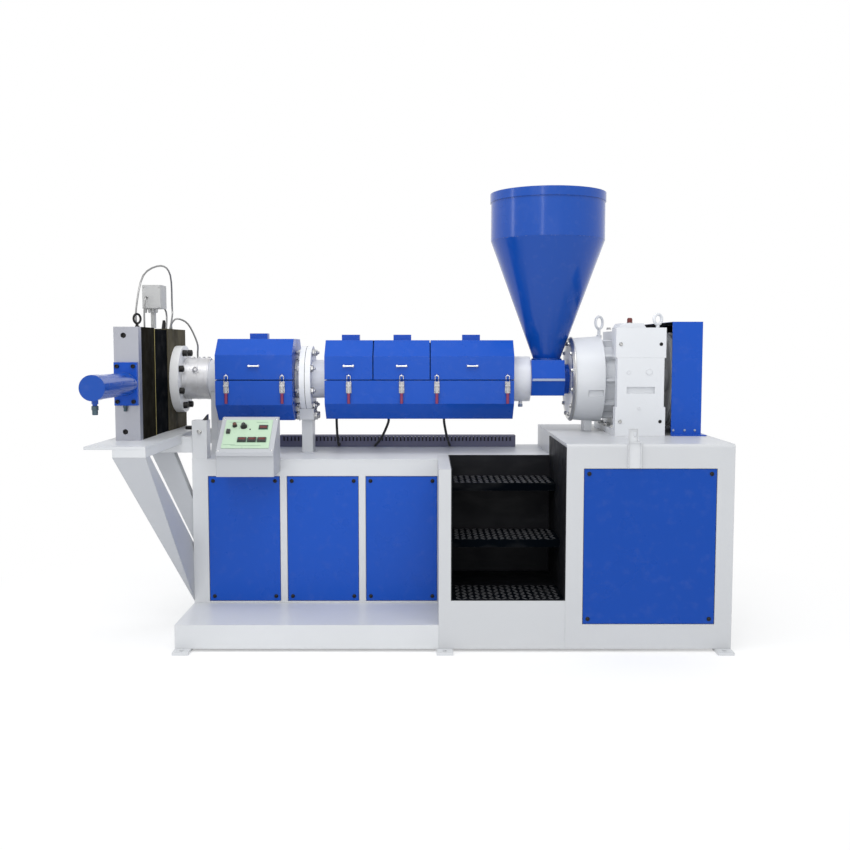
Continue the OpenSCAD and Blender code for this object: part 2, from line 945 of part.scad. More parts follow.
module barrel_post() {
    z1 = axis_h - flange_r + 28;
    color(white_paint)
        placed()
            difference() {
                union() {
                    slab([flange_x - post_half, axis_back - 2 * post_half, deck_h],
                        [flange_x + post_half, axis_back + 2 * post_half, z1 - saddle_h]);
                    slab([flange_x - saddle_x, axis_back - saddle_half, z1 - saddle_h],
                        [flange_x + saddle_x, axis_back + saddle_half, z1]);
                }
                axis_bar(flange_x - 40, 80, flange_r + fit, flange_r + fit);
            }
}

// Outline of a heater cover in y and z about the barrel axis
module cover_outline(half) {
    c = half - cover_fold;
    polygon([[c, -half], [half, -c], [half, c], [c, half], [-c, half], [-half, c], [-half, -c], [-c, -half]]);
}

// The part of a heater cover's outline above or below the seam
module half_outline(half, upper) {
    intersection() {
        cover_outline(half);
        translate([-half - 1, upper ? seam / 2 : -half - 1])
            square([2 * half + 2, half + 1 - seam / 2]);
    }
}

// A folded sheet trough with end walls where they are asked for
module cover_shell(x, len, half, upper, end_0, end_1, hole_r) {
    difference() {
        along_x(x, len)
            translate([axis_back, axis_h])
                half_outline(half, upper);
        along_x(x + (end_0 ? cover_wall : -1), len + (end_0 ? -cover_wall : 1) + (end_1 ? -cover_wall : 1))
            translate([axis_back, axis_h])
                cover_outline(half - cover_wall);
        axis_bar(x - 1, len + 2, hole_r, hole_r);
    }
}

// Middle x of the two hinges of a lid
hinge_in = 60;
function hinge_xs(x, len) = [x + hinge_in, x + len - hinge_in];
knuckle_gap = 1;

module hinge_bar(x, len, half, r) {
    translate([x, axis_back + half + hinge_back, axis_h])
        rotate([0, 90, 0])
            cylinder(h = len, r = r, $fn = 32);
}

module lid_knuckle(x, half) {
    x0 = x - knuckle_len / 2;
    y0 = axis_back + half;
    difference() {
        union() {
            hinge_bar(x0, knuckle_len, half, knuckle_r);
            slab([x0, y0, axis_h + seam / 2], [x0 + knuckle_len, y0 + hinge_back, axis_h + knuckle_r]);
        }
        hinge_bar(x0 - 1, knuckle_len + 2, half, pin_r + pin_play);
    }
}

module base_knuckles(x, half) {
    y0 = axis_back + half;
    offset_x = knuckle_len / 2 + knuckle_gap;
    union() {
        for (x0 = [x - offset_x - knuckle_len, x + offset_x]) {
            hinge_bar(x0, knuckle_len, half, knuckle_r);
            slab([x0, y0, axis_h - knuckle_r], [x0 + knuckle_len, y0 + hinge_back, axis_h - seam / 2]);
        }
        hinge_bar(x - offset_x - knuckle_len, 2 * (offset_x + knuckle_len), half, pin_r);
    }
}

vent_w = 82;
vent_d = 56;
vent_h = 26;
vent_wall = 3;
handle_w = 50;
handle_z = 63;
handle_r = 4;
handle_reach = 12;
keeper_w = 18;
keeper_h = 22;
keeper_t = 3;
keeper_reach = 10;

// A bow handle bent from round bar
module bow_handle(x, y, z) {
    for (side = [-1, 1])
        translate([x + side * (handle_w / 2 - handle_r), y, z])
            rotate([90, 0, 0])
                cylinder(h = handle_reach - handle_r, r = handle_r, $fn = 24);
    translate([x - handle_w / 2, y - handle_reach + handle_r, z])
        rotate([0, 90, 0])
            cylinder(h = handle_w, r = handle_r, $fn = 24);
}

// The hooked plate on a lid that a latch pulls on
module keeper(x, y) {
    z0 = axis_h + seam / 2 + keeper_t;
    slab([x - keeper_w / 2, y - keeper_t, z0], [x + keeper_w / 2, y, z0 + keeper_h]);
    slab([x - keeper_w / 4, y - keeper_reach, z0], [x + keeper_w / 4, y, z0 + keeper_h / 2]);
}

module lid_fittings(x, len, half, latch_xs) {
    front = axis_back - half;
    bow_handle(x + len / 2, front, axis_h + handle_z);
    for (lx = latch_xs)
        keeper(lx, front);
}

// A chimney of thin sheet on a lid's top
module vent_outside(mid, top) {
    slab([mid - vent_w / 2, axis_back - vent_d / 2, top - cover_wall],
        [mid + vent_w / 2, axis_back + vent_d / 2, top + vent_h]);
}

module vent_inside(mid, top) {
    slab([mid - vent_w / 2 + vent_wall, axis_back - vent_d / 2 + vent_wall, top - 2 * cover_wall],
        [mid + vent_w / 2 - vent_wall, axis_back + vent_d / 2 - vent_wall, top + vent_h + sliver]);
}

module lid(x, len, half, end_0, end_1, latch_xs) {
    color(blue_paint)
        placed()
            difference() {
                union() {
                    cover_shell(x, len, half, true, end_0, end_1, barrel_r + lid_clear);
                    vent_outside(x + len / 2, axis_h + half);
                    lid_fittings(x, len, half, latch_xs);
                    for (hx = hinge_xs(x, len))
                        lid_knuckle(hx, half);
                }
                vent_inside(x + len / 2, axis_h + half);
            }
}

lid_a_span = [lid_a_x, lid_a_len - seam / 2];
lid_b_span = [lid_b_x + seam / 2, lid_b_len - seam];
lid_c_span = [lid_c_x + seam / 2, lid_c_len - seam / 2];
cover_1_latches = [cover_1_x + 50, cover_1_x + cover_1_len - 45];
lid_a_latches = [lid_a_x + lid_a_len / 2];
lid_b_latches = [lid_b_x + lid_b_len / 2];
lid_c_latches = [lid_c_x + 30, lid_c_x + lid_c_len - 30];

module cover_1_base() {
    color(blue_paint)
        placed()
            union() {
                cover_shell(cover_1_x, cover_1_len, cover_1_half, false, true, true, barrel_r + fit);
                for (hx = hinge_xs(cover_1_x, cover_1_len))
                    base_knuckles(hx, cover_1_half);
            }
}

module cover_1_lid() {
    lid(cover_1_x, cover_1_len, cover_1_half, true, true, cover_1_latches);
}

module cover_2_base() {
    color(blue_paint)
        placed()
            union() {
                cover_shell(cover_2_x, cover_2_len, cover_2_half, false, true, true, barrel_r + fit);
                for (span = [lid_a_span, lid_b_span, lid_c_span], hx = hinge_xs(span[0], span[1]))
                    base_knuckles(hx, cover_2_half);
            }
}

module cover_2_lid_a() {
    lid(lid_a_span[0], lid_a_span[1], cover_2_half, true, false, lid_a_latches);
}

module cover_2_lid_b() {
    lid(lid_b_span[0], lid_b_span[1], cover_2_half, false, false, lid_b_latches);
}

module cover_2_lid_c() {
    lid(lid_c_span[0], lid_c_span[1], cover_2_half, false, true, lid_c_latches);
}

latch_w = 24;
latch_t = 4;
latch_h = 52;
lever_w = 12;
lever_t = 7;
lever_len = 98;

// A toggle latch: a riveted foot plate, a pivot and a long lever
module latch(x, half) {
    front = axis_back - half;
    z1 = axis_h - seam / 2 - latch_t;
    pivot_z = z1 - 0.4 * latch_h;
    union() {
        slab([x - latch_w / 2, front - latch_t, z1 - latch_h], [x + latch_w / 2, front, z1]);
        translate([x - latch_w / 2, front - latch_t - lever_t / 2, pivot_z])
            rotate([0, 90, 0])
                cylinder(h = latch_w, r = lever_t / 2 + 1, $fn = 24);
        slab([x - lever_w / 2, front - latch_t - lever_t, z1 - lever_len],
            [x + lever_w / 2, front - latch_t, z1 - latch_t]);
    }
}

module cover_latches() {
    color(bare_steel)
        placed() {
            for (x = cover_1_latches)
                latch(x, cover_1_half);
            for (x = concat(lid_a_latches, lid_b_latches, lid_c_latches))
                latch(x, cover_2_half);
        }
}

feed_hole_r = 50;
joint_half = 6;

joint_reach = 8;
throat_in = 30;
spigot_r = 70;

// One side of the feed throat's outline, from its top to its bottom
function throat_side(side) = [[side * (throat_half - throat_in), throat_top],
    [side * throat_half, joint_half], [side * (throat_half + joint_reach), joint_half],
    [side * (throat_half + joint_reach), -joint_half],
    [side * throat_half, -joint_half], [side * (throat_half - throat_in), -throat_low]];

module feed_throat() {
    right = throat_side(1);
    color(blue_paint)
        placed()
            difference() {
                union() {
                    along_x(throat_x, throat_len)
                        translate([axis_back, axis_h])
                            polygon(concat(throat_side(-1), [for (i = [len(right) - 1:-1:0]) right[i]]));
                    axis_bar(ring_x - spigot_len, spigot_len, spigot_r, spigot_r);
                }
                translate([hopper_x, axis_back, axis_h])
                    cylinder(h = throat_top + sliver, r = feed_hole_r);
            }
}

module hopper_turned(points) {
    translate([hopper_x, axis_back, throat_z])
        rotate_extrude($fn = 128)
            polygon(points);
}

hopper_foot_w = 10;
hopper_foot_t = 6;

module hopper_cone() {
    w = hopper_wall;
    slope = (hopper_r - outlet_r) / cone_h;
    foot_r = outlet_r + slope * hopper_foot_t;
    rim_r = outlet_r + hopper_foot_w;
    color(blue_paint)
        placed()
            hopper_turned([[outlet_r - w, 0], [rim_r, 0], [rim_r, hopper_foot_t], [foot_r, hopper_foot_t],
                [hopper_r, cone_h], [hopper_r - w, cone_h]]);
}

module hopper_drum() {
    w = hopper_wall;
    z1 = cone_h + drum_h;
    color(blue_paint)
        placed()
            hopper_turned([[hopper_r - w, cone_h], [hopper_r, cone_h], [hopper_r, z1 - rim_h],
                [hopper_r + w, z1 - rim_h], [hopper_r + w, z1], [hopper_r - w, z1]]);
}

neck_r = 160;
rib_count = 10;
rib_t = 12;
bell_slot_w = 66;
bell_slot_h = 30;
bell_slot_drop = 45;
bell_foot_w = 36;
bell_foot_d = 90;

// Ribs that stiffen the neck between the bell housing and the gearbox wall
module neck_ribs() {
    for (k = [0:rib_count - 1])
        translate([wall_x - neck_len, axis_back, axis_h])
            rotate([360 / rib_count * (k + 0.5), 0, 0])
                translate([0, -rib_t / 2, neck_r - rib_t])
                    cube([neck_len, rib_t, bell_r - neck_r]);
}

module gearbox_bell() {
    slot_x1 = wall_x - neck_len - 8;
    slot_z1 = axis_h - bell_slot_drop;
    foot_x = wall_x - neck_len - 2 * bell_foot_w;
    color(white_paint)
        placed()
            difference() {
                union() {
                    axis_bar(ring_x, ring_bevel, ring_r - ring_bevel, ring_r);
                    axis_bar(ring_x + ring_bevel, ring_t - ring_bevel, ring_r, ring_r);
                    axis_bar(bell_x, bell_len - neck_len, ring_r - 6, bell_r);
                    axis_bar(wall_x - neck_len, neck_len, neck_r, neck_r);
                    neck_ribs();
                    slab([foot_x, axis_back - bell_foot_d / 2, drive_h],
                        [foot_x + bell_foot_w, axis_back + bell_foot_d / 2, axis_h - bell_r + bell_foot_w]);
                    translate([wall_x - neck_len, axis_back, axis_h + bell_r - 10])
                        rotate([0, 0, 45])
                            eyebolt(28, 6, 44);
                }
                slab([slot_x1 - bell_slot_w, axis_back - bell_r - sliver, slot_z1 - bell_slot_h],
                    [slot_x1, axis_back - bell_r + 2 * rib_t, slot_z1]);
            }
}

case_side = 7;
foot_rise = 127;
seal_depth = 32;
shaft_play = 0.5;
case_x1 = gearbox_x + gearbox_len;
case_y0 = axis_back - gearbox_front;
case_y1 = axis_back + gearbox_rear;
cap_z = axis_h + cap_line;
window_w = 121;
window_h = 28;
window_depth = 12;
case_bolt_r = 8;
case_bolt_in = 22;

// A hole for a housing bolt in the gearbox's front wall
module case_bolt_hole(x, z) {
    translate([x, case_y0 + 2 * window_depth, z])
        rotate([90, 0, 0])
            cylinder(h = 3 * window_depth, r = case_bolt_r, $fn = 32);
}

module gearbox_case() {
    window_x = gearbox_x + 0.23 * gearbox_len;
    window_z = axis_h - 0.25 * cap_line - window_h;
    color(white_paint)
        placed()
            difference() {
                union() {
                    slab([gearbox_x, case_y0, drive_h], [case_x1, case_y0 + front_wall, drive_h + foot_rise]);
                    slab([gearbox_x + case_side, case_y0, drive_h],
                        [case_x1 - case_side, case_y0 + front_wall, cap_z]);
                    slab([wall_x, case_y0, drive_h], [case_x1 - case_side, case_y1, cap_z]);
                    slab([gearbox_x, case_y0, drive_h], [case_x1, case_y1, drive_h + front_wall / 2]);
                }
                slab([window_x, case_y0 - sliver, window_z],
                    [window_x + window_w, case_y0 + window_depth, window_z + window_h]);
                for (x = [gearbox_x + case_bolt_in, case_x1 - case_bolt_in])
                    case_bolt_hole(x, drive_h + foot_rise / 2);
                translate([case_x1 - case_side - seal_depth, input_y, axis_h])
                    rotate([0, 90, 0])
                        cylinder(h = seal_depth + case_side + sliver, r = shaft_r + shaft_play);
            }
}

cap_depth = 200;
cap_lip = 90;
cap_drop = 11;
cover_len = 136;
cover_bevel = 14;
cover_rise = 20;

module gearbox_cap() {
    top = axis_h + gearbox_top;
    color(white_paint)
        placed()
            difference() {
                union() {
                    slab([gearbox_x, case_y0, cap_z], [case_x1, case_y0 + front_wall, top]);
                    slab([wall_x, case_y0, cap_z], [case_x1 - case_side, case_y1, top - cap_drop]);
                    slab([wall_x - wall_step / 2, case_y0, top - cap_lip],
                        [case_x1 - case_side, case_y0 + cap_depth, top]);
                    along_y(case_y0 + front_wall / 2, cap_depth - front_wall)
                        polygon([[gearbox_x + cover_bevel, top - sliver],
                            [gearbox_x + cover_len, top - sliver],
                            [gearbox_x + cover_len - cover_bevel, top + cover_rise],
                            [gearbox_x + 2 * cover_bevel, top + cover_rise]]);
                    translate([case_x1 - 30, case_y0 + 40, top - cap_drop])
                        rotate([0, 0, 30])
                            eyebolt(22, 6.5, 26);
                }
                for (x = [gearbox_x + case_bolt_in, case_x1 - case_bolt_in])
                    case_bolt_hole(x, cap_z + 0.45 * (top - cap_z));
            }
}

guard_x = case_x1 + guard_gap;

hub_r = 55;
web_t = 16;
rim_in = 32;
groove_d = 13;

// Half section of the pulley: hub, web and grooved rim, with x as radius and y along the shaft
module pulley_section() {
    pitch = pulley_w / groove_count;
    difference() {
        union() {
            square([hub_r, pulley_w]);
            translate([0, pulley_w / 2 - web_t / 2])
                square([pulley_r - 1, web_t]);
            translate([pulley_r - rim_in, 0])
                square([rim_in, pulley_w]);
        }
        for (i = [0:groove_count - 1])
            translate([pulley_r, pitch * (i + 0.5)])
                polygon([[1, -7], [1, 7], [-groove_d, 4], [-groove_d, -4]]);
    }
}

module drive_pulley() {
    shaft_x = case_x1 - case_side - seal_depth + 2;
    pulley_x = guard_x + guard_wall;
    color(bare_steel)
        placed()
            translate([0, input_y, axis_h])
                rotate([0, 90, 0])
                    union() {
                        translate([0, 0, pulley_x])
                            rotate_extrude($fn = 96)
                                pulley_section();
                        translate([0, 0, shaft_x])
                            cylinder(h = pulley_x + pulley_w + 4 - shaft_x, r = shaft_r);
                    }
}

guard_foot = 20;
guard_lip = 16;

module belt_guard() {
    y0 = axis_back - guard_half;
    y1 = axis_back + guard_half;
    x1 = guard_x + guard_w;
    z1 = drive_h + guard_h;
    w = guard_wall;
    color(blue_paint)
        placed()
            union() {
                difference() {
                    slab([guard_x, y0, drive_h], [x1, y1, z1]);
                    slab([guard_x + w, y0 + w, drive_h - sliver], [x1 - w, y1 - w, z1 - w]);
                    slab([guard_x - sliver, y0 + w, drive_h - sliver],
                        [guard_x + 2 * w, y1 - guard_lip, z1 - guard_lip]);
                }
                slab([guard_x, y0 - guard_foot, drive_h], [x1 + guard_foot, y0, drive_h + w]);
                slab([x1, y0, drive_h], [x1 + guard_foot, y1, drive_h + w]);
            }
}

foot_pads();
plinth();
left_frame();
deck_plate();
panel_1();
panel_2();
panel_3();
rear_panels();
step_frame();
step_lining();
step_treads();
drive_base();
drive_panel();
drain_chute();
cable_duct();
shelf_plate();
shelf_frame();
shelf_braces();
deck_posts();
console_body();
console_face();
console_controls();
changer_body();
slide_guard();
changer_yoke();
changer_front_plate();
cylinder_plate();
hydraulic_cylinder();
head_eyebolts();
junction_box();
heater_conduits();
heater_cables();
adapter_flange();
nose_band();
front_support();
barrel_front();
barrel_rear();
barrel_post();
cover_1_base();
cover_1_lid();
cover_2_base();
cover_2_lid_a();
cover_2_lid_b();
cover_2_lid_c();
cover_latches();
feed_throat();
hopper_cone();
hopper_drum();
gearbox_bell();
gearbox_case();
gearbox_cap();
drive_pulley();
belt_guard();
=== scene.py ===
"""Studio scene of the pelletizing machine: finishes for the solids, fasteners and fittings, light and camera.

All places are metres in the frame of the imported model: +X along the barrel, +Y to the back, +Z up.
"""

import math

import bmesh
import bpy
from mathutils import Matrix, Vector


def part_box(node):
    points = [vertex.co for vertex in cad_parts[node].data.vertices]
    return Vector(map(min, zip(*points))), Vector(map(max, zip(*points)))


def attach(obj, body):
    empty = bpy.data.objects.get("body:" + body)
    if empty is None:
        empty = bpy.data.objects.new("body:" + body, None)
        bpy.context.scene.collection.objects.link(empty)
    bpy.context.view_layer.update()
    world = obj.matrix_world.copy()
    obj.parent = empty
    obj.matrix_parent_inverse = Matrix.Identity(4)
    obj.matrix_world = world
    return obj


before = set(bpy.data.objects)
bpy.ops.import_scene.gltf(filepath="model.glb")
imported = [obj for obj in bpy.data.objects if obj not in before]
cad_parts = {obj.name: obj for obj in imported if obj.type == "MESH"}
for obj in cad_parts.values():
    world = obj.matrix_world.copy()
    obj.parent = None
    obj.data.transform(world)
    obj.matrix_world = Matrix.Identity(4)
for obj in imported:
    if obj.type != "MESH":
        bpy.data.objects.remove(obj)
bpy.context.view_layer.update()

X, Y, Z = Vector((1, 0, 0)), Vector((0, 1, 0)), Vector((0, 0, 1))
FRONT = -Y

# Colours, linear
BLUE = (0.004, 0.071, 0.44)
WHITE = (0.61, 0.622, 0.638)
# A brighter copy of the white for the adapter flange: painted light over the shade the flange stands in
PAINTED_LIGHT_WHITE = (0.86, 0.865, 0.875)
FRAME_WHITE = (0.535, 0.545, 0.56)
# Grey of the console, also used as a painted shade on the shelf braces
CONSOLE_GREY_AND_BRACE_SHADE = (0.45, 0.463, 0.487)
BARREL_WHITE = (0.79, 0.8, 0.81)
CAST_WHITE = (0.68, 0.695, 0.72)
HOPPER_BLUE = (0.004, 0.06, 0.34)
BLACK = (0.0085, 0.009, 0.0115)
BROWN_STEEL = (0.098, 0.087, 0.06)
OILED_STEEL = (0.016, 0.0142, 0.0098)
STEEL = (0.56, 0.56, 0.55)
PLATED = (0.72, 0.72, 0.72)
RED = (0.2, 0.016, 0.07)
LIGHT_GREY = (0.43, 0.432, 0.43)
DUCT_GREY = (0.145, 0.145, 0.215)
FILM_GREEN = (0.45, 0.6, 0.44)
WHITE_WEAR = (0.5, 0.5, 0.52)
BAND_METAL, BAND_STAIN = (0.71, 0.71, 0.725), (0.42, 0.4, 0.36)
BOOT_SCUFF, BOOT_EDGE = (0.04, 0.04, 0.041), (0.09, 0.09, 0.09)

# Camera, as the photograph was taken
PICTURE_PX = 850
FOCAL_PX = 1000
SENSOR = 36
CAMERA_PLACE = (0.028, -4.361, 1.241)
CAMERA_PITCH = 4.46


# Materials: the colour sockets of the Mix node, samples of the Bevel node, the usual span of a noise,
# and the dot product of true and eased normals on a face and on a corner
MIX_A, MIX_B, MIX_RESULT = 6, 7, 2
BEVEL_SAMPLES = 4
NOISE_LOW, NOISE_HIGH = 0.3, 0.7
FACE_DOT, CORNER_DOT = 0.99, 0.8

# Relief and eased corners of the finishes, in metres
ORANGE_PEEL, SHEET_WAVE, SCRATCH, SCALE, SCUFF, RUB = 0.00006, 0.0006, 0.00012, 0.0003, 0.00018, 0.0002
PAINT_EASE, METAL_EASE, MOULD_EASE, BAND_EASE = 0.003, 0.002, 0.0012, 0.0015


class Finish:
    """A Principled material with the patterns that the finishes share, in the model's own metres."""

    def __init__(self, name, colour, roughness, metallic=0.0, **sockets):
        self.material = bpy.data.materials.new(name)
        self.material.use_nodes = True
        self.tree = self.material.node_tree
        self.shader = self.tree.nodes["Principled BSDF"]
        self.shader.inputs["Base Color"].default_value = (*colour, 1)
        self.shader.inputs["Roughness"].default_value = roughness
        self.shader.inputs["Metallic"].default_value = metallic
        for label, value in sockets.items():
            self.shader.inputs[label.replace("_", " ")].default_value = value
        self.colour = colour
        self.roughness = roughness
        self.place = self.add("ShaderNodeTexCoord").outputs["Object"]
        self.heights = []

    def add(self, kind, **inputs):
        node = self.tree.nodes.new(kind)
        for label, value in inputs.items():
            self.feed(node.inputs[label.replace("_", " ")], value)
        return node

    def feed(self, socket, value):
        if isinstance(value, bpy.types.NodeSocket):
            self.tree.links.new(value, socket)
        else:
            socket.default_value = value

    def noise(self, scale, detail=3.0, stretch=(1, 1, 1)):
        mapping = self.add("ShaderNodeMapping", Vector=self.place, Scale=stretch)
        texture = self.add("ShaderNodeTexNoise", Vector=mapping.outputs[0], Scale=scale, Detail=detail)
        return texture.outputs[0]

    def between(self, value, low, high, out_low=0.0, out_high=1.0):
        node = self.add("ShaderNodeMapRange", Value=value)
        limits = {"From Min": low, "From Max": high, "To Min": out_low, "To Max": out_high}
        for label, number in limits.items():
            node.inputs[label].default_value = number
        return node.outputs[0]

    def times(self, a, b):
        node = self.add("ShaderNodeMath")
        node.operation = "MULTIPLY"
        self.feed(node.inputs[0], a)
        self.feed(node.inputs[1], b)
        return node.outputs[0]

    def tint(self, mask, colour):
        """Lays a second colour over the surface where the mask is 1."""
        socket = self.shader.inputs["Base Color"]
        node = self.add("ShaderNodeMix")
        node.data_type = "RGBA"
        self.feed(node.inputs["Factor"], mask)
        under = socket.links[0].from_socket if socket.is_linked else (*self.colour, 1)
        self.feed(node.inputs[MIX_A], under)
        self.feed(node.inputs[MIX_B], (*colour, 1))
        self.feed(socket, node.outputs[MIX_RESULT])

    def vary_gloss(self, mask, spread):
        """Lets the roughness wander by the spread to either side."""
        dull, bright = self.roughness + spread, self.roughness - spread
        self.feed(self.shader.inputs["Roughness"], self.between(mask, NOISE_LOW, NOISE_HIGH, bright, dull))

    def raise_by(self, height, depth):
        """Adds relief: height runs from 0 to 1, depth is its real size in metres."""
        self.heights.append((height, depth))

    def edge(self, radius):
        """1 along the corners of the solid, 0 on its faces."""
        round_off = self.add("ShaderNodeBevel", Radius=radius)
        round_off.samples = BEVEL_SAMPLES
        flat = self.add("ShaderNodeNewGeometry").outputs["Normal"]
        node = self.add("ShaderNodeVectorMath")
        node.operation = "DOT_PRODUCT"
        self.feed(node.inputs[0], round_off.outputs[0])
        self.feed(node.inputs[1], flat)
        return self.between(node.outputs["Value"], FACE_DOT, CORNER_DOT)

    def done(self, soften):
        """Joins the eased corners and the relief to the shader."""
        round_off = self.add("ShaderNodeBevel", Radius=soften)
        round_off.samples = BEVEL_SAMPLES
        normal = round_off.outputs[0]
        for height, depth in self.heights:
            bump = self.add("ShaderNodeBump", Height=height, Distance=depth, Strength=1.0)
            self.feed(bump.inputs["Normal"], normal)
            normal = bump.outputs[0]
        self.feed(self.shader.inputs["Normal"], normal)
        return self.material


def darker(colour, share):
    return tuple(c * share for c in colour)


def paint(name, colour, roughness, wear=(0.3, 0.3, 0.3), cast=0.0, coat=0.1, shine=0.3):
    """Sprayed enamel: orange peel, faint unevenness of tone, a film of dust and thin paint on the corners."""
    f = Finish(name, colour, roughness, Coat_Weight=coat, Coat_Roughness=0.12, Specular_IOR_Level=shine)
    f.tint(f.between(f.noise(2.2), 0.35, 0.75, 0, 0.3), darker(colour, 0.85))
    f.tint(f.between(f.noise(26, 5), 0.55, 0.85, 0, 0.08), tuple(0.5 * c + 0.2 for c in colour))
    f.tint(f.times(f.edge(0.0025), f.between(f.noise(90, 4), 0.5, 0.62, 0, 0.5)), wear)
    f.vary_gloss(f.noise(7, 4), 0.06)
    f.raise_by(f.noise(420, 1), ORANGE_PEEL)
    f.raise_by(f.noise(14, 2), SHEET_WAVE)
    if cast:
        f.raise_by(f.noise(150, 3), cast)
    return f.done(PAINT_EASE)


def steel(name, colour, roughness, lay=(1, 1, 30), stain=0.25):
    """Ground or turned metal: fine scratches across the lay and dull stains."""
    f = Finish(name, colour, roughness, metallic=1.0)
    scratches = f.noise(60, 4, lay)
    f.tint(f.between(f.noise(9, 5), 0.45, 0.8, 0, stain), darker(colour, 0.45))
    f.vary_gloss(scratches, 0.09)
    f.raise_by(scratches, SCRATCH)
    return f.done(METAL_EASE)


def scaled_iron(name, colour, rust, roughness, shine):
    """Iron darkened by heat and oil: blotches, runs and scale."""
    f = Finish(name, colour, roughness, Specular_IOR_Level=shine)
    f.tint(f.between(f.noise(11, 6, (1, 1, 0.4)), 0.4, 0.7, 0, 0.9), darker(colour, 0.3))
    f.tint(f.between(f.noise(38, 6, (1, 1, 0.25)), 0.56, 0.74, 0, 0.5), rust)
    f.tint(f.times(f.edge(0.002), 0.6), tuple(1.6 * c for c in rust))
    f.vary_gloss(f.noise(24, 5), 0.14)
    f.raise_by(f.noise(120, 5), SCALE)
    return f.done(METAL_EASE)


def black_plate(name, colour, roughness, shine):
    """Satin black sheet with scuffs from boots and grey dust."""
    f = Finish(name, colour, roughness, Specular_IOR_Level=shine)
    f.tint(f.between(f.noise(18, 6, (0.35, 1, 1)), 0.5, 0.85, 0, 0.4), BOOT_SCUFF)
    f.tint(f.times(f.edge(0.002), f.between(f.noise(70, 4), 0.45, 0.6, 0, 0.6)), BOOT_EDGE)
    f.vary_gloss(f.noise(12, 5), 0.14)
    f.raise_by(f.noise(260, 3), SCUFF)
    return f.done(METAL_EASE)


def moulded(name, colour, roughness, grain=0.00009):
    """Moulded plastic or rubber: fine grain, slight bloom, rubbed corners."""
    f = Finish(name, colour, roughness)
    f.tint(f.between(f.noise(30, 4), 0.45, 0.8, 0, 0.3), tuple(0.8 * c + 0.06 for c in colour))
    f.tint(f.times(f.edge(0.0015), 0.4), tuple(0.7 * c + 0.12 for c in colour))
    f.vary_gloss(f.noise(40, 4), 0.08)
    f.raise_by(f.noise(700, 2), grain)
    return f.done(MOULD_EASE)


def heater_band(name):
    """Dull band metal with brown heat stains and rub marks round the barrel."""
    f = Finish(name, BAND_METAL, 0.42, metallic=0.6)
    f.tint(f.between(f.noise(13, 5), 0.45, 0.75, 0, 0.5), BAND_STAIN)
    f.vary_gloss(f.noise(50, 4, (8, 1, 1)), 0.1)
    f.raise_by(f.noise(45, 4, (20, 1, 1)), RUB)
    return f.done(BAND_EASE)


blue = paint("blue_enamel", BLUE, 0.3, coat=0.06, shine=0.2)
# A darker copy of the blue for the drive panel: painted shade
drive_panel_shade_blue = paint("drive_panel_shade_enamel", darker(BLUE, 0.78), 0.3, coat=0.05, shine=0.15)
# A darker matt copy of the blue for the ribs and strips in the cover seams: painted shade
seam_shade_blue = paint("seam_shade_enamel", darker(BLUE, 0.5), 0.6, coat=0.0, shine=0.05)
hopper_blue = paint("hopper_blue_enamel", HOPPER_BLUE, 0.22, coat=0.25, shine=0.22)
white = paint("white_enamel", WHITE, 0.38, wear=WHITE_WEAR)
cast_white = paint("white_cast_enamel", CAST_WHITE, 0.42, wear=WHITE_WEAR, cast=0.0005)
barrel_white = paint("barrel_enamel", BARREL_WHITE, 0.36, wear=WHITE_WEAR, cast=0.0002)
# Grey enamel: the console's own colour, and a painted shade on the shelf braces
console_grey_and_brace_shade = paint("console_and_brace_shade_enamel", CONSOLE_GREY_AND_BRACE_SHADE, 0.42, wear=(0.35, 0.36, 0.38))
frame_white = paint("frame_enamel", FRAME_WHITE, 0.4, wear=(0.4, 0.4, 0.42))
# Brighter white on the adapter flange: painted light, as the flange stands in shade
painted_light_white = paint("painted_light_white_enamel", PAINTED_LIGHT_WHITE, 0.36, wear=WHITE_WEAR, cast=0.0002)
black = black_plate("black_sheet", BLACK, 0.5, 0.12)
# Near-black sheet: the own black of the slide guard and the step treads, and painted shade inside the belt
# guard
black_sheet_and_guard_shade = black_plate("black_sheet_and_guard_shade", (0.001, 0.002, 0.0035), 0.78, 0.015)
tread_black = black_plate("tread_black", (0.08, 0.08, 0.085), 0.32, 0.4)
iron = scaled_iron("heat_darkened_iron", BROWN_STEEL, (0.12, 0.1, 0.062), 0.64, 0.02)
oiled_iron = scaled_iron("oiled_iron", OILED_STEEL, (0.024, 0.02, 0.01), 0.72, 0.01)
ground = steel("ground_steel", STEEL, 0.36)
plate_steel = steel("ground_plate", (0.42, 0.43, 0.475), 0.44, stain=0.15)
latch_metal = steel("latch_plate", (0.4, 0.4, 0.41), 0.3, lay=(12, 12, 12), stain=0.35)
plated = steel("bright_plate", PLATED, 0.2, lay=(12, 12, 12), stain=0.12)
blackened = steel("blackened_steel", (0.035, 0.034, 0.034), 0.42, lay=(8, 8, 8))
pulley_paint = paint("pulley_paint", (0.58, 0.59, 0.6), 0.35, cast=0.0003)
band_metal = heater_band("heater_band_metal")
red_grip = moulded("red_grip", RED, 0.42)
grey_moulding = moulded("grey_moulding", LIGHT_GREY, 0.5)
conduit_steel = steel("conduit_steel", (0.28, 0.28, 0.28), 0.34, lay=(6, 6, 6), stain=0.2)
black_moulding = moulded("black_moulding", (0.014, 0.014, 0.014), 0.38)
rubber = moulded("cable_rubber", (0.012, 0.012, 0.012), 0.6)
duct = moulded("duct_moulding", DUCT_GREY, 0.55)
film = moulded("console_film", FILM_GREEN, 0.34, grain=0.00003)
print_ink = moulded("console_ink", (0.16, 0.3, 0.2), 0.4, grain=0.00003)
display_red = moulded("display_window", (0.12, 0.012, 0.01), 0.15, grain=0.00002)
dark_keys = moulded("console_keys", (0.02, 0.022, 0.022), 0.35)
brown_button = moulded("button_cap", (0.1, 0.03, 0.018), 0.35)
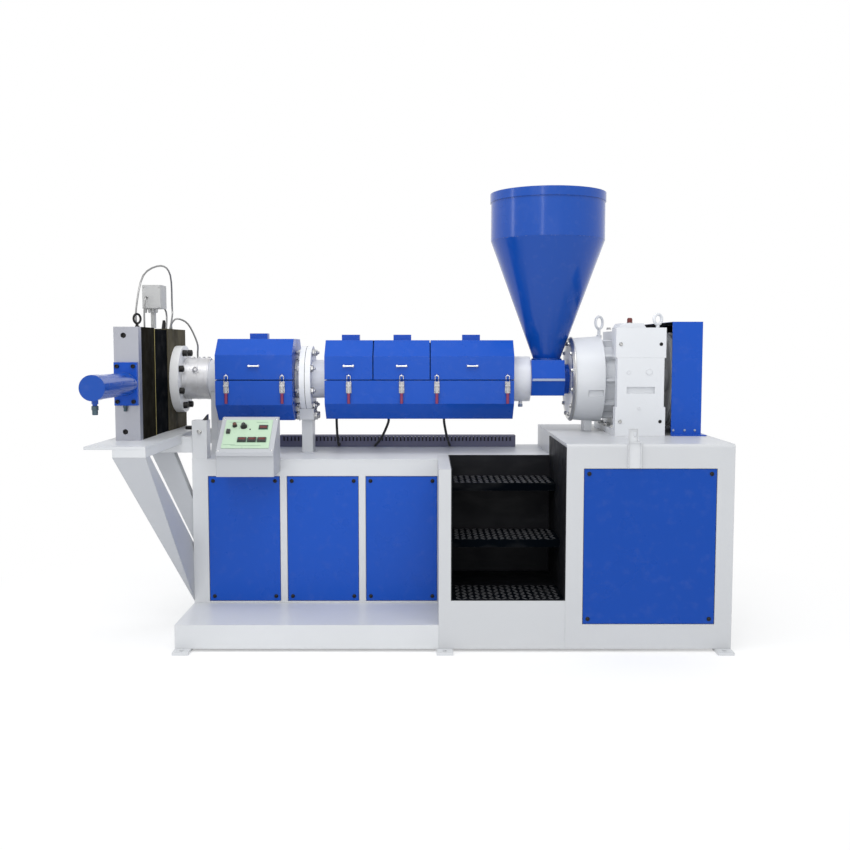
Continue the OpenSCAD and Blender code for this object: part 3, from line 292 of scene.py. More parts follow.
breather_red = moulded("breather_red", (0.13, 0.014, 0.008), 0.4)
joint_grey = paint("joint_grey", (0.3, 0.36, 0.5), 0.45)
zinc = steel("zinc_fitting", (0.085, 0.125, 0.15), 0.36, lay=(6, 6, 6))
brass = steel("brass_strip", (0.42, 0.36, 0.12), 0.42, stain=0.5)

SLOT_FINISH = {
    "white_paint": white, "blue_paint": blue, "black_plate": black, "duct_plastic": duct, "overlay": film,
    "control_plastic": black_moulding, "dark_steel": iron, "bare_steel": ground, "black_steel": blackened,
    "grey_plastic": grey_moulding, "black_rubber": rubber, "band_steel": band_metal, "latch_steel": plated,
}
NODE_FINISH = {
    "gearbox_case": cast_white, "gearbox_cap": cast_white, "slide_guard": black_sheet_and_guard_shade,
    "changer_yoke": oiled_iron, "drive_pulley": pulley_paint, "drive_panel": drive_panel_shade_blue,
    "changer_front_plate": plate_steel, "cover_latches": latch_metal, "adapter_flange": painted_light_white,
    "barrel_front": barrel_white, "barrel_rear": barrel_white, "gearbox_bell": cast_white,
    "shelf_braces": console_grey_and_brace_shade, "console_body": console_grey_and_brace_shade, "drive_base": frame_white,
    "step_frame": frame_white, "step_treads": black_sheet_and_guard_shade, "heater_conduits": conduit_steel,
    "hopper_cone": hopper_blue, "hopper_drum": hopper_blue, "hydraulic_cylinder": hopper_blue,
}

for node_name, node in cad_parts.items():
    for index, current in enumerate(node.data.materials):
        node.data.materials[index] = NODE_FINISH.get(node_name, SLOT_FINISH[current.name.split(".")[0]])


# Mesh helpers
SAME_POINT = 1e-6
SHARP_ANGLE = math.radians(35)
SAME_DIGITS = 5
CORNER_STEPS = 4
WELD_R, WELD_STEP = 0.0035, 0.005

# Profiles of fasteners, in shares of their size
HEX_WASHER = [(0, 0), (1.05, 0), (1.05, 0.18), (0, 0.18)]
HEX_HEAD = [(0, 0.18), (0.92, 0.18), (0.92, 0.72), (0.736, 0.86), (0, 0.86)]
CAP_SCREW = [(0, 0), (0.75, 0), (0.75, 0.88), (0.68, 1), (0.48, 1), (0.44, 0.9), (0.42, 0.45), (0, 0.4)]
PAN_SCREW = [(0, 0), (1.35, 0), (1.35, 0.22), (1, 0.26), (0.92, 0.62), (0.6, 0.88), (0.2, 0.92), (0.16, 0.6),
             (0, 0.6)]


def facing(point, direction, turn=0.0):
    """Places a shape drawn about +Z so that it stands at the point and looks in the direction."""
    spin = Matrix.Rotation(turn, 4, "Z")
    return Matrix.Translation(point) @ Vector(direction).to_track_quat("Z", "Y").to_matrix().to_4x4() @ spin


def lathe(bm, place, profile, sides):
    """Turns a profile of (radius, height) pairs about +Z; a radius of 0 closes the end."""
    rings = []
    for radius, height in profile:
        if radius == 0:
            rings.append([bm.verts.new(place @ Vector((0, 0, height)))])
        else:
            angles = [2 * math.pi * k / sides for k in range(sides)]
            rings.append([bm.verts.new(place @ Vector((radius * math.cos(a), radius * math.sin(a), height)))
                          for a in angles])
    for low, high in zip(rings, rings[1:]):
        for k in range(sides):
            n = k + 1
            corners = [low[k % len(low)], low[n % len(low)], high[n % len(high)], high[k % len(high)]]
            corners = [v for i, v in enumerate(corners) if v not in corners[:i]]
            if len(corners) > 2:
                bm.faces.new(corners)


def prism(bm, place, outline, low, high, inset=0.0):
    """Raises a flat outline from low to high, with its top edge drawn in by the inset share."""
    def ring(height, share):
        return [bm.verts.new(place @ Vector((x * share, y * share, height))) for x, y in outline]
    edge_drop = min(0.3 * (high - low), inset * max(abs(x) for x, _ in outline)) if inset else 0
    rings = [ring(low, 1), ring(high - edge_drop, 1)]
    if inset:
        rings.append(ring(high, 1 - inset))
    for a, b in zip(rings, rings[1:]):
        for k in range(len(outline)):
            n = (k + 1) % len(outline)
            bm.faces.new((a[k], a[n], b[n], b[k]))
    bm.faces.new(list(reversed(rings[0])))
    bm.faces.new(rings[-1])


def rounded(width, height, radius):
    """A rectangle about the middle with rounded corners."""
    points = []
    for quarter, (sx, sy) in enumerate(((1, 1), (-1, 1), (-1, -1), (1, -1))):
        for step in range(CORNER_STEPS + 1):
            a = math.pi / 2 * (quarter + step / CORNER_STEPS)
            points.append((sx * (width / 2 - radius) + radius * math.cos(a),
                           sy * (height / 2 - radius) + radius * math.sin(a)))
    return points


def piece(name, build, material, body="root"):
    """Makes one named piece from a function that fills a bmesh, and lets it ride on a body."""
    bm = bmesh.new()
    build(bm)
    bmesh.ops.remove_doubles(bm, verts=bm.verts, dist=SAME_POINT)
    bmesh.ops.recalc_face_normals(bm, faces=bm.faces)
    mesh = bpy.data.meshes.new(name)
    bm.to_mesh(mesh)
    bm.free()
    mesh.materials.append(material)
    obj = bpy.data.objects.new(name, mesh)
    bpy.context.scene.collection.objects.link(obj)
    mesh.polygons.foreach_set("use_smooth", [True] * len(mesh.polygons))
    mesh.set_sharp_from_angle(angle=SHARP_ANGLE)
    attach(obj, body)


def turned(bm, point, direction, profile, size, sides, turn=0.0):
    """Turns a fastener's profile at a point."""
    lathe(bm, facing(point, direction, turn), [(r * size, h * size) for r, h in profile], sides)


def hex_bolt(bm, point, direction, size, turn=0.0):
    """A washer and a chamfered hexagon head for a bolt of that thread size."""
    turned(bm, point, direction, HEX_WASHER, size, 20, turn)
    turned(bm, point, direction, HEX_HEAD, size, 6, turn)


def socket_screw(bm, point, direction, size):
    """A cap screw with a round socket, for that thread size."""
    turned(bm, point, direction, CAP_SCREW, size, 18)


def pan_screw(bm, point, direction, radius):
    """A low domed screw on a thin washer, with a dimple in its crown."""
    turned(bm, point, direction, PAN_SCREW, radius, 18)


def solids(node):
    """The lowest and highest corners of each separate solid in a node."""
    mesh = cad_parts[node].data
    parent = list(range(len(mesh.vertices)))

    def root(v):
        while parent[v] != v:
            parent[v] = parent[parent[v]]
            v = parent[v]
        return v

    seen = {}
    for v in mesh.vertices:
        key = tuple(round(c, SAME_DIGITS) for c in v.co)
        parent[root(v.index)] = root(seen.setdefault(key, v.index))
    for edge in mesh.edges:
        parent[root(edge.vertices[0])] = root(edge.vertices[1])
    groups = {}
    for v in mesh.vertices:
        groups.setdefault(root(v.index), []).append(v.co)
    return [tuple(Vector([pick(c[k] for c in group) for k in range(3)]) for pick in (min, max))
            for group in groups.values()]


def middle(node):
    """The middle of a node's box."""
    low, high = (Vector(c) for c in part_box(node))
    return (low + high) / 2


def on_circle(centre, radius, count, first):
    """Points on a circle about the barrel's direction, from an angle in degrees."""
    for k in range(count):
        a = math.radians(first) + 2 * math.pi * k / count
        yield centre + radius * (math.cos(a) * Y + math.sin(a) * Z)


# Places that the fittings share
axis = middle("adapter_flange")
top_of = {name: Vector(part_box(name)[1]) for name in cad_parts}
foot_of = {name: Vector(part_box(name)[0]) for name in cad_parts}
LID_BODY = {"cover_1_lid": "front_lid", "cover_2_lid_a": "rear_lid_a", "cover_2_lid_b": "rear_lid_b",
            "cover_2_lid_c": "rear_lid_c"}


def block(bm, low, high, radius=0.002):
    """A plate between two corners, with its edges rounded in plan and its top edge eased."""
    low, high = Vector(low), Vector(high)
    size = high - low
    place = Matrix.Translation(((low.x + high.x) / 2, (low.y + high.y) / 2, low.z))
    prism(bm, place, rounded(size.x, size.y, min(radius, 0.45 * min(size.x, size.y))), 0, size.z, 0.04)


def rod(bm, start, end, radius, sides=12):
    """A round bar with eased ends between two points."""
    start, end = Vector(start), Vector(end)
    length = (end - start).length
    ease = min(0.4 * radius, 0.2 * length)
    profile = [(0, 0), (radius - ease, 0), (radius, ease), (radius, length - ease), (radius - ease, length),
               (0, length)]
    lathe(bm, facing(start, end - start), profile, sides)


def weld(bm, start, end, radius=WELD_R):
    """A rippled weld bead along a straight joint."""
    start, end = Vector(start), Vector(end)
    count = max(2, round((end - start).length / WELD_STEP))
    ripple = [(radius * (1 if k % 2 else 0.72), (end - start).length * k / count) for k in range(count + 1)]
    lathe(bm, facing(start, end - start), [(0, 0), *ripple, (0, ripple[-1][1])], 8)


# Panel screws
PANEL_INSET = 0.02
PANEL_SCREW = 0.0065


def panel_screws(bm):
    for names, side in ((("panel_1", "panel_2", "panel_3", "drive_panel"), FRONT), (("rear_panels",), Y)):
        for low, high in (box for name in names for box in solids(name)):
            y = low.y if side == FRONT else high.y
            for x in (low.x + PANEL_INSET, high.x - PANEL_INSET):
                for z in (low.z + PANEL_INSET, high.z - PANEL_INSET):
                    pan_screw(bm, (x, y, z), side, PANEL_SCREW)


piece("panel_screws", panel_screws, blackened)


# Flange bolts
ADAPTER_CIRCLE = 0.1305
ADAPTER_SCREW = 0.02
FLANGE_CIRCLE = 0.132
FLANGE_T = 0.026
FLANGE_BOLT = 0.016
BOLTS_ROUND = 8
FIRST_BOLT = 22.5
STUD_LEN, STUD_R = 0.022, 0.0075
GASKET_INNER, GASKET_R, GASKET_HALF = 0.15, 0.1534, 0.001
SADDLE_NUT, SADDLE_SIDE, SADDLE_DROP = 0.02, 0.045, 0.035


def adapter_bolts(bm):
    face = Vector((top_of["adapter_flange"].x, axis.y, axis.z))
    for point in on_circle(face, ADAPTER_CIRCLE, BOLTS_ROUND, FIRST_BOLT):
        socket_screw(bm, point, X, ADAPTER_SCREW)


def middle_flange_bolts(bm):
    joint_x = top_of["barrel_front"].x
    for side in (-1, 1):
        face = Vector((joint_x + side * FLANGE_T, axis.y, axis.z))
        for point in on_circle(face, FLANGE_CIRCLE, BOLTS_ROUND, FIRST_BOLT):
            hex_bolt(bm, point, side * X, FLANGE_BOLT, turn=0.3)
            rod(bm, point, point + side * STUD_LEN * X, STUD_R)


def flange_gasket(bm):
    place = facing((top_of["barrel_front"].x, axis.y, axis.z), X)
    lathe(bm, place, [(GASKET_INNER, -GASKET_HALF), (GASKET_R, -GASKET_HALF), (GASKET_R, GASKET_HALF),
                      (GASKET_INNER, GASKET_HALF)], 96)


def saddle_nuts(bm):
    low, high = foot_of["barrel_post"], top_of["barrel_post"]
    for y in (axis.y - SADDLE_SIDE, axis.y + SADDLE_SIDE):
        for x, side in ((low.x, -X), (high.x, X)):
            hex_bolt(bm, (x, y, high.z - SADDLE_DROP), side, SADDLE_NUT)


piece("adapter_bolts", adapter_bolts, blackened)
piece("middle_flange_bolts", middle_flange_bolts, ground)
piece("flange_gasket", flange_gasket, rubber)
piece("saddle_nuts", saddle_nuts, ground)


# Heater band on the nose
STRAP_T, STRAP_W, STRAP_SUNK, STRAP_EASE = 0.0012, 0.014, 0.001, 0.0005
RIDGE_HALF, RIDGE_SUNK, RIDGE_H = 0.009, 0.002, 0.004
RIDGE_BOLTS, RIDGE_BOLT = 5, 0.007
SENSOR_TILT, SENSOR_ALONG, SENSOR_SUNK = math.radians(27), 0.062, 0.002
SENSOR_SEAT = [(0, 0), (0.016, 0), (0.016, 0.007), (0.011, 0.009), (0.011, 0.018), (0.008, 0.02),
               (0.005, 0.014), (0, 0.014)]


def band_straps(bm):
    low, high = foot_of["nose_band"], top_of["nose_band"]
    radius = high.z - axis.z
    inner, outer = radius - STRAP_SUNK, radius + STRAP_T
    strap = [(inner, 0), (outer, STRAP_EASE), (outer, STRAP_W - STRAP_EASE), (inner, STRAP_W)]
    for x in (low.x + 0.006, (low.x + high.x) / 2 - STRAP_W / 2, high.x - 0.02):
        lathe(bm, facing((x, axis.y, axis.z), X), strap, 64)
    ridge_top = high.z + RIDGE_H
    block(bm, (low.x, axis.y - RIDGE_HALF, high.z - RIDGE_SUNK), (high.x, axis.y + RIDGE_HALF, ridge_top))
    for k in range(RIDGE_BOLTS):
        x = low.x + (k + 0.5) * (high.x - low.x) / RIDGE_BOLTS
        hex_bolt(bm, (x, axis.y, ridge_top), Z, RIDGE_BOLT)
    out = -math.cos(SENSOR_TILT) * Y + math.sin(SENSOR_TILT) * Z
    seat = Vector((low.x + SENSOR_ALONG, axis.y, axis.z)) + (radius - SENSOR_SUNK) * out
    lathe(bm, facing(seat, out), SENSOR_SEAT, 24)


piece("band_straps", band_straps, band_metal)


# Heater bands on the barrel, under the covers
BARREL_R = 0.089
HEATER_T = 0.006
HEATER_LEN = 0.092
HEATER_PITCH = 0.104
HEATER_MARGIN = 0.016
HEATER_SUNK, BEAD_H = 0.001, 0.0015
TERMINAL_TILT = math.radians(48)
TERMINALS_ALONG = (0.034, 0.058)
TERMINAL = [(0, 0), (0.009, 0), (0.009, 0.011), (0.0045, 0.013), (0.0045, 0.019), (0, 0.02)]


def heater_bands(bm):
    out = -math.cos(TERMINAL_TILT) * Y + math.sin(TERMINAL_TILT) * Z
    inner, outer = BARREL_R - HEATER_SUNK, BARREL_R + HEATER_T
    bead = outer + BEAD_H
    profile = [(inner, 0), (outer, 0.0005), (bead, 0.004), (bead, 0.012), (outer, 0.016)]
    profile += [(radius, HEATER_LEN - height) for radius, height in reversed(profile)]
    for node in ("cover_1_base", "cover_2_base"):
        low, high = foot_of[node].x + HEATER_MARGIN, top_of[node].x - HEATER_MARGIN
        count = int((high - low) / HEATER_PITCH)
        first = (low + high - (count - 1) * HEATER_PITCH - HEATER_LEN) / 2
        for k in range(count):
            start = Vector((first + k * HEATER_PITCH, axis.y, axis.z))
            lathe(bm, facing(start, X), profile, 72)
            for along in TERMINALS_ALONG:
                seat = start + along * X + (outer - HEATER_SUNK) * out
                lathe(bm, facing(seat, out), TERMINAL, 18)


piece("heater_bands", heater_bands, band_metal)


# Fixed ribs under the seams from lid to lid, and strips on the bases behind the seams from lid to base, in a
# darker matt blue that paints the shade in the seams
SEAM_HALF = 0.0025
COVER_HALF, COVER_FOLD, COVER_WALL = 0.18, 0.073, 0.004
RIB_CLEAR, RIB_DEEP, RIB_HALF = 0.007, 0.014, 0.014
RIB_STEP, RIB_FOOT, RIB_SUNK = 0.012, 0.045, 0.0005
STRIP_T, STRIP_DROP, STRIP_RISE, STRIP_IN, STRIP_ROUND = 0.003, 0.0115, 0.0018, 0.0006, 0.0005


def seam_shade_ribs(bm):
    def arch(half):
        fold = half - COVER_FOLD
        return [(-half, fold), (-fold, half), (fold, half), (half, fold)]
    wall = COVER_HALF - COVER_WALL + RIB_SUNK
    outer = COVER_HALF - COVER_WALL - RIB_CLEAR
    inner = outer - RIB_DEEP
    outline = [(-wall, -RIB_FOOT), (-wall, -RIB_STEP), (-outer, -RIB_STEP), *arch(outer),
               (outer, -RIB_STEP), (wall, -RIB_STEP), (wall, -RIB_FOOT),
               (inner, -RIB_FOOT), *reversed(arch(inner)), (-inner, -RIB_FOOT)]
    for node in ("cover_2_lid_a", "cover_2_lid_b"):
        x = top_of[node].x + SEAM_HALF
        place = Matrix(((0, 0, 1, x), (1, 0, 0, axis.y), (0, 1, 0, axis.z), (0, 0, 0, 1)))
        prism(bm, place, outline[::-1], -RIB_HALF, RIB_HALF)
    for node in ("cover_1_base", "cover_2_base"):
        for side in (-1, 1):
            ys = sorted((axis.y + side * wall, axis.y + side * (wall - STRIP_T)))
            block(bm, (foot_of[node].x + STRIP_IN, ys[0], axis.z - STRIP_DROP),
                  (top_of[node].x - STRIP_IN, ys[1], axis.z + STRIP_RISE), STRIP_ROUND)


piece("seam_shade_ribs", seam_shade_ribs, seam_shade_blue)


# Latches, handles and wire bows of the heater covers
GRIP_LEN, GRIP_W, GRIP_D, GRIP_ROUND = 0.047, 0.013, 0.0115, 0.004
WIRE_R = 0.0019
WIRE_HALF = 0.0078
WIRE_SIDES = 10
RIVET_R, RIVET_HALF = 0.0022, 0.0088
BOW_RISE = 0.0195
KEEPER_SCREW, KEEPER_RISES = 0.002, (0.0205, 0.0245)
HANDLE_REACH = 0.012
HANDLE_RISE = 0.063
HANDLE_HALF = 0.025
HANDLE_R, HANDLE_OVER, HANDLE_FOOT_IN = 0.0043, 0.001, 0.004
HANDLE_FOOT = [(0, 0), (0.0062, 0), (0.006, 0.0015), (0.0045, 0.0025), (0.0045, 0.009), (0, 0.009)]


def latch_grips(bm):
    for low, high in solids("cover_latches"):
        place = facing(((low.x + high.x) / 2, low.y + 0.0035, low.z - 0.001), Z)
        prism(bm, place, rounded(GRIP_W, GRIP_D, GRIP_ROUND), 0, GRIP_LEN, 0.12)


def latch_wires(bm):
    for low, high in solids("cover_latches"):
        mid = (low.x + high.x) / 2
        for x in (mid - WIRE_HALF, mid + WIRE_HALF):
            y = low.y + 0.003
            rod(bm, (x, y, high.z - 0.024), (x, y, axis.z - SEAM_HALF), WIRE_R, WIRE_SIDES)
        for z in (high.z - 0.007, high.z - 0.044):
            for x in (mid - RIVET_HALF, mid + RIVET_HALF):
                pan_screw(bm, (x, high.y - 0.004, z), FRONT, RIVET_R)


def lid_metal(node):
    """The handle and the wire bows that ride with one lid."""
    low, high = foot_of[node], top_of[node]
    front = low.y + HANDLE_REACH

    def build(bm):
        mid = (low.x + high.x) / 2
        bar_y, bar_z = low.y + 0.004, axis.z + HANDLE_RISE
        reach = HANDLE_HALF + HANDLE_OVER
        rod(bm, (mid - reach, bar_y, bar_z), (mid + reach, bar_y, bar_z), HANDLE_R, 20)
        for x in (mid - HANDLE_HALF + HANDLE_FOOT_IN, mid + HANDLE_HALF - HANDLE_FOOT_IN):
            lathe(bm, facing((x, front, bar_z), FRONT), HANDLE_FOOT, 18)
        for latch_low, latch_high in solids("cover_latches"):
            x = (latch_low.x + latch_high.x) / 2
            if low.x < x < high.x:
                y, bow_z = front - 0.0075, axis.z + BOW_RISE
                for side in (-1, 1):
                    leg = x + side * WIRE_HALF
                    rod(bm, (leg, y, axis.z + SEAM_HALF + 0.0005), (leg, y, bow_z), WIRE_R, WIRE_SIDES)
                rod(bm, (x - WIRE_HALF, y, bow_z), (x + WIRE_HALF, y, bow_z), WIRE_R, WIRE_SIDES)
                for rise in KEEPER_RISES:
                    pan_screw(bm, (x, front - 0.003, axis.z + rise), FRONT, KEEPER_SCREW)
    return build


piece("latch_grips", latch_grips, red_grip)
piece("latch_wires", latch_wires, plated)
for lid_node, lid_body in LID_BODY.items():
    piece(lid_node + "_metal", lid_metal(lid_node), plated, lid_body)


# Checker plate on the steps
LOZENGE = [(0.0135, 0), (0.006, 0.0036), (-0.006, 0.0036), (-0.0135, 0), (-0.006, -0.0036), (0.006, -0.0036)]
LOZENGE_H, LOZENGE_SUNK, LOZENGE_EASE = 0.0016, 0.0004, 0.25
LOZENGE_PITCH = 0.027
EDGE_MARGIN = 0.016


def checker_field(bm, corner, across, along, out, width, length):
    """Raised lozenges in alternate directions over a rectangle of plate."""
    columns = int((width - 2 * EDGE_MARGIN) / LOZENGE_PITCH) + 1
    rows = max(1, int((length - EDGE_MARGIN) / LOZENGE_PITCH) + 1)
    for i in range(columns):
        for j in range(rows):
            u = width / 2 + (i - (columns - 1) / 2) * LOZENGE_PITCH
            v = length / 2 + (j - (rows - 1) / 2) * LOZENGE_PITCH
            turn = math.radians(45 if (i + j) % 2 else -45)
            place = facing(corner + u * across + v * along, out, turn)
            prism(bm, place, LOZENGE, -LOZENGE_SUNK, LOZENGE_H, LOZENGE_EASE)


def tread_pattern(bm):
    for low, high in solids("step_treads"):
        top_front = Vector((low.x, low.y, high.z))
        checker_field(bm, top_front, X, Y, Z, high.x - low.x, high.y - low.y)


piece("tread_pattern", tread_pattern, tread_black)


# Control console
CONSOLE_RISE = 0.136
CONSOLE_RUN = 0.17
FILM_T = 0.003
slope = math.atan2(CONSOLE_RISE, CONSOLE_RUN)
slope_len = math.hypot(CONSOLE_RISE, CONSOLE_RUN)
slope_up = math.cos(slope) * Y + math.sin(slope) * Z
slope_out = -math.sin(slope) * Y + math.cos(slope) * Z
console_low, console_high = foot_of["console_body"], top_of["console_body"]
slope_start = Vector((console_low.x, console_low.y, console_high.z - CONSOLE_RISE))


def on_console(across, up, out):
    """A point over the sloping face, from its lower left corner."""
    return slope_start + across * X + up * slope_up + out * slope_out


def console_plate(bm, across, up, width, height, low, high, radius=0.002):
    """A flat rounded plate on the sloping face, by its middle."""
    turn = Matrix((X, slope_up, slope_out)).transposed().to_4x4()
    place = Matrix.Translation(on_console(across, up, 0)) @ turn
    prism(bm, place, rounded(width, height, radius), low, high, 0.03)


METERS = [(0.101 + 0.042 * k, 0.275 * slope_len + 0.013) for k in range(3)]
DISPLAY = (0.1835, 0.64 * slope_len + 0.011)
KNOB = (0.099, 0.71 * slope_len)
BUTTON = (0.06, 0.73 * slope_len)
SWITCH = (0.037, 0.51 * slope_len + 0.011)
LAMP = (0.128, 0.63 * slope_len)
DIAL_R, DIAL_MARKS, DIAL_FIRST, DIAL_STEP = 0.0195, 11, -210, 24
PRINTED_LINES = ((0.05, 0.045, 0.05), (0.121, 0.038, 0.13), (0.06, 0.197 * 0.93, 0.05), (0.176, 0.182, 0.05))
METER_TOP = 0.0078
KEYS, KEY_PITCH = 4, 0.007
ROCKER_TOP, ROCKER_HALF = 0.0108, 0.0038
KNOB_CAP = [(0, 0), (0.0088, 0), (0.0082, 0.0022), (0, 0.0026)]
BUTTON_CAP = [(0, 0), (0.0085, 0), (0.0085, 0.003), (0.007, 0.0046), (0, 0.005)]
CONSOLE_SCREW, SCREW_ACROSS, SCREW_UP = 0.0035, 0.009, 0.011


def console_print(bm):
    for across, up in (*METERS, DISPLAY):
        console_plate(bm, across, up, 0.041, 0.031, FILM_T, FILM_T + 0.0006)
    for k in range(DIAL_MARKS):
        a = math.radians(DIAL_FIRST + DIAL_STEP * k)
        across, up = KNOB[0] + DIAL_R * math.cos(a), KNOB[1] - DIAL_R * math.sin(a)
        console_plate(bm, across, up, 0.0022, 0.0022, FILM_T, FILM_T + 0.0005, 0.0008)
    for across, up, width in PRINTED_LINES:
        console_plate(bm, across, up, width, 0.0016, FILM_T, FILM_T + 0.0004, 0.0006)


def console_windows(bm):
    for across, up in METERS:
        console_plate(bm, across, up + 0.004, 0.028, 0.0105, METER_TOP, METER_TOP + 0.0008)
    console_plate(bm, *DISPLAY, 0.03, 0.014, 0.0068, 0.0076)


def console_keys(bm):
    for across, up in METERS:
        for k in range(KEYS):
            key_across = across - 0.0105 + KEY_PITCH * k
            console_plate(bm, key_across, up - 0.0075, 0.005, 0.0045, METER_TOP, METER_TOP + 0.0014, 0.001)
    for across, top in ((-ROCKER_HALF, 0.0135), (ROCKER_HALF, 0.0125)):
        console_plate(bm, SWITCH[0] + across, SWITCH[1], 0.0065, 0.019, ROCKER_TOP, top, 0.001)
    console_plate(bm, *LAMP, 0.006, 0.006, FILM_T, 0.006, 0.0029)
    lathe(bm, facing(on_console(*KNOB, 0.019), slope_out), KNOB_CAP, 24)
    console_plate(bm, KNOB[0], KNOB[1] + 0.0045, 0.0024, 0.009, 0.0212, 0.0228, 0.0008)


def button_cap(bm):
    lathe(bm, facing(on_console(*BUTTON, 0.0145), slope_out), BUTTON_CAP, 24)


def console_screws(bm):
    for across in (SCREW_ACROSS, console_high.x - console_low.x - SCREW_ACROSS):
        for up in (SCREW_UP, slope_len - SCREW_UP):
            pan_screw(bm, on_console(across, up, 0), slope_out, CONSOLE_SCREW)


piece("console_print", console_print, print_ink)
piece("console_windows", console_windows, display_red)
piece("console_keys", console_keys, dark_keys)
piece("console_button", button_cap, brown_button)
piece("console_screws", console_screws, plated)


# Gearbox, bell housing and belt guard
case_low, case_high = foot_of["gearbox_case"], top_of["gearbox_case"]
cap_low, cap_high = foot_of["gearbox_cap"], top_of["gearbox_cap"]
case_screw_zs = (case_low.z + 0.0635, cap_low.z + 0.059)
CASE_BOLT_IN = 0.022
CASE_SCREW, FOOT_BOLT, CAP_BOLT = 0.0095, 0.016, 0.012
FOOT_BOLTS_BACK = (0.14, 0.3, 0.46)
# Profile of the black disc sunk in each open bolt hole: painted shade inside the hole
BORE_SHADE_DISC = [(0, 0), (0.0078, 0), (0.0078, 0.006), (0.005, 0.0065), (0.0045, 0.002), (0, 0.002)]
BOSSES = ((0.2, 0.36, 0.009), (0.71, 0.355, 0.015), (0.47, 0.83, 0.007))
BREATHER_RISE = 0.253
BREATHER_R, BREATHER_RIBS, BREATHER_RIB_R = 0.0104, 8, 0.0014
BREATHER_PLUG = [(0, 0), (0.0105, 0), (0.0105, 0.021), (0.0085, 0.0245), (0, 0.025)]
BREATHER_NUT = [(0, -0.001), (0.0145, -0.001), (0.0145, 0.003), (0.012, 0.004), (0, 0.004)]
breather = facing((cap_low.x + 0.078, cap_low.y + 0.1, axis.z + BREATHER_RISE), Z)
RING_BEVEL, RING_T, RING_R, RING_SKIN = 0.01, 0.016, 0.196, 0.0006
RING_FACE = RING_R - RING_BEVEL
RING_BOLTS, RING_BOLT = 12, 0.01
GUARD_W, GUARD_WALL, GUARD_SILL, GUARD_LIP = 0.132, 0.005, 0.02, 0.016
GUARD_SCREW, GUARD_BOLT = 0.0052, 0.007
# Thickness and rounding of the near-black sheets that paint the shade inside the belt guard
SHADE_SHEET_T, SHADE_SHEET_ROUND = 0.0012, 0.0005


def gearbox_bolts(bm):
    for z in case_screw_zs:
        socket_screw(bm, (case_low.x + CASE_BOLT_IN, case_low.y + 0.006, z), FRONT, CASE_SCREW)
    for back in FOOT_BOLTS_BACK:
        hex_bolt(bm, (case_low.x + 0.018, case_low.y + back, case_low.z + 0.025), Z, FOOT_BOLT, turn=0.4)
    for x in (case_low.x + 0.06, cap_high.x - 0.06):
        hex_bolt(bm, (x, case_high.y - 0.03, cap_high.z - 0.0655), Z, CAP_BOLT, turn=0.2)


# Black discs in the two open bolt holes on the right of the case: painted shade inside the holes
def gearbox_bore_shade(bm):
    for z in case_screw_zs:
        lathe(bm, facing((cap_high.x - CASE_BOLT_IN, case_low.y + 0.009, z), FRONT), BORE_SHADE_DISC, 20)


def case_bosses(bm):
    left, right = case_low.x + CASE_BOLT_IN, cap_high.x - CASE_BOLT_IN
    low_z, high_z = case_screw_zs
    for across, down, radius in BOSSES:
        point = (left + across * (right - left), case_low.y + 0.0005, high_z - down * (high_z - low_z))
        boss = [(0, 0), (radius, 0), (0.93 * radius, 0.0022), (0.78 * radius, 0.0026),
                (0.72 * radius, 0.0018), (0, 0.0018)]
        lathe(bm, facing(point, FRONT), boss, 28)


def breather_plug(bm):
    lathe(bm, breather, BREATHER_PLUG, 20)
    for k in range(BREATHER_RIBS):
        a = 2 * math.pi * k / BREATHER_RIBS
        x, y = BREATHER_R * math.cos(a), BREATHER_R * math.sin(a)
        rod(bm, breather @ Vector((x, y, 0.003)), breather @ Vector((x, y, 0.02)), BREATHER_RIB_R, 8)


def breather_nut(bm):
    lathe(bm, breather, BREATHER_NUT, 6)


def bell_ring(bm):
    place = facing((foot_of["gearbox_bell"].x, axis.y, axis.z), X)
    outer = RING_R + RING_SKIN
    ring = [(RING_FACE - 0.03, -RING_SKIN), (RING_FACE, -RING_SKIN), (outer, RING_BEVEL - RING_SKIN),
            (outer, RING_T - 0.002), (RING_R - 0.001, RING_T - 0.002)]
    lathe(bm, place, ring, 96)
    for point in on_circle(place.translation, RING_FACE - 0.018, RING_BOLTS, 15):
        hex_bolt(bm, point - RING_SKIN * X, -X, RING_BOLT)


def guard_bolts(bm):
    low, high = foot_of["belt_guard"], top_of["belt_guard"]
    front = low.y + GUARD_SILL
    for across in (0.01, 0.06, 0.105):
        hex_bolt(bm, (low.x + across, front, low.z + 0.024), FRONT, GUARD_SCREW, turn=0.2)
    for back in (0.06, 0.3, 0.54):
        hex_bolt(bm, (high.x - 0.01, front + back, low.z + 0.005), Z, GUARD_BOLT)


# Near-black sheets inside the belt guard and along its open side: painted shade where the guard's inside lies
# in shadow
def guard_shade_sheets(bm):
    low, high = foot_of["belt_guard"], top_of["belt_guard"]
    x0, x1 = low.x + 0.001, low.x + GUARD_W - GUARD_WALL
    y0, y1 = low.y + GUARD_SILL + GUARD_WALL, high.y - GUARD_WALL
    z0, z1 = low.z + 0.01, high.z - GUARD_WALL
    lip_x0, lip_x1 = low.x - SHADE_SHEET_T, low.x + 0.0005
    lip_y, lip_z = high.y - GUARD_LIP, high.z - GUARD_LIP
    block(bm, (x0, y0, z1 - SHADE_SHEET_T), (x1, y1, z1), SHADE_SHEET_T)
    block(bm, (x1 - SHADE_SHEET_T, y0, z0), (x1, y1, z1), SHADE_SHEET_ROUND)
    block(bm, (x0, y1 - SHADE_SHEET_T, z0), (x1, y1, z1), SHADE_SHEET_ROUND)
    block(bm, (lip_x0, y0, lip_z), (lip_x1, high.y, high.z - 0.0015), SHADE_SHEET_ROUND)
    block(bm, (lip_x0, lip_y, low.z + 0.006), (lip_x1, high.y, lip_z), SHADE_SHEET_ROUND)


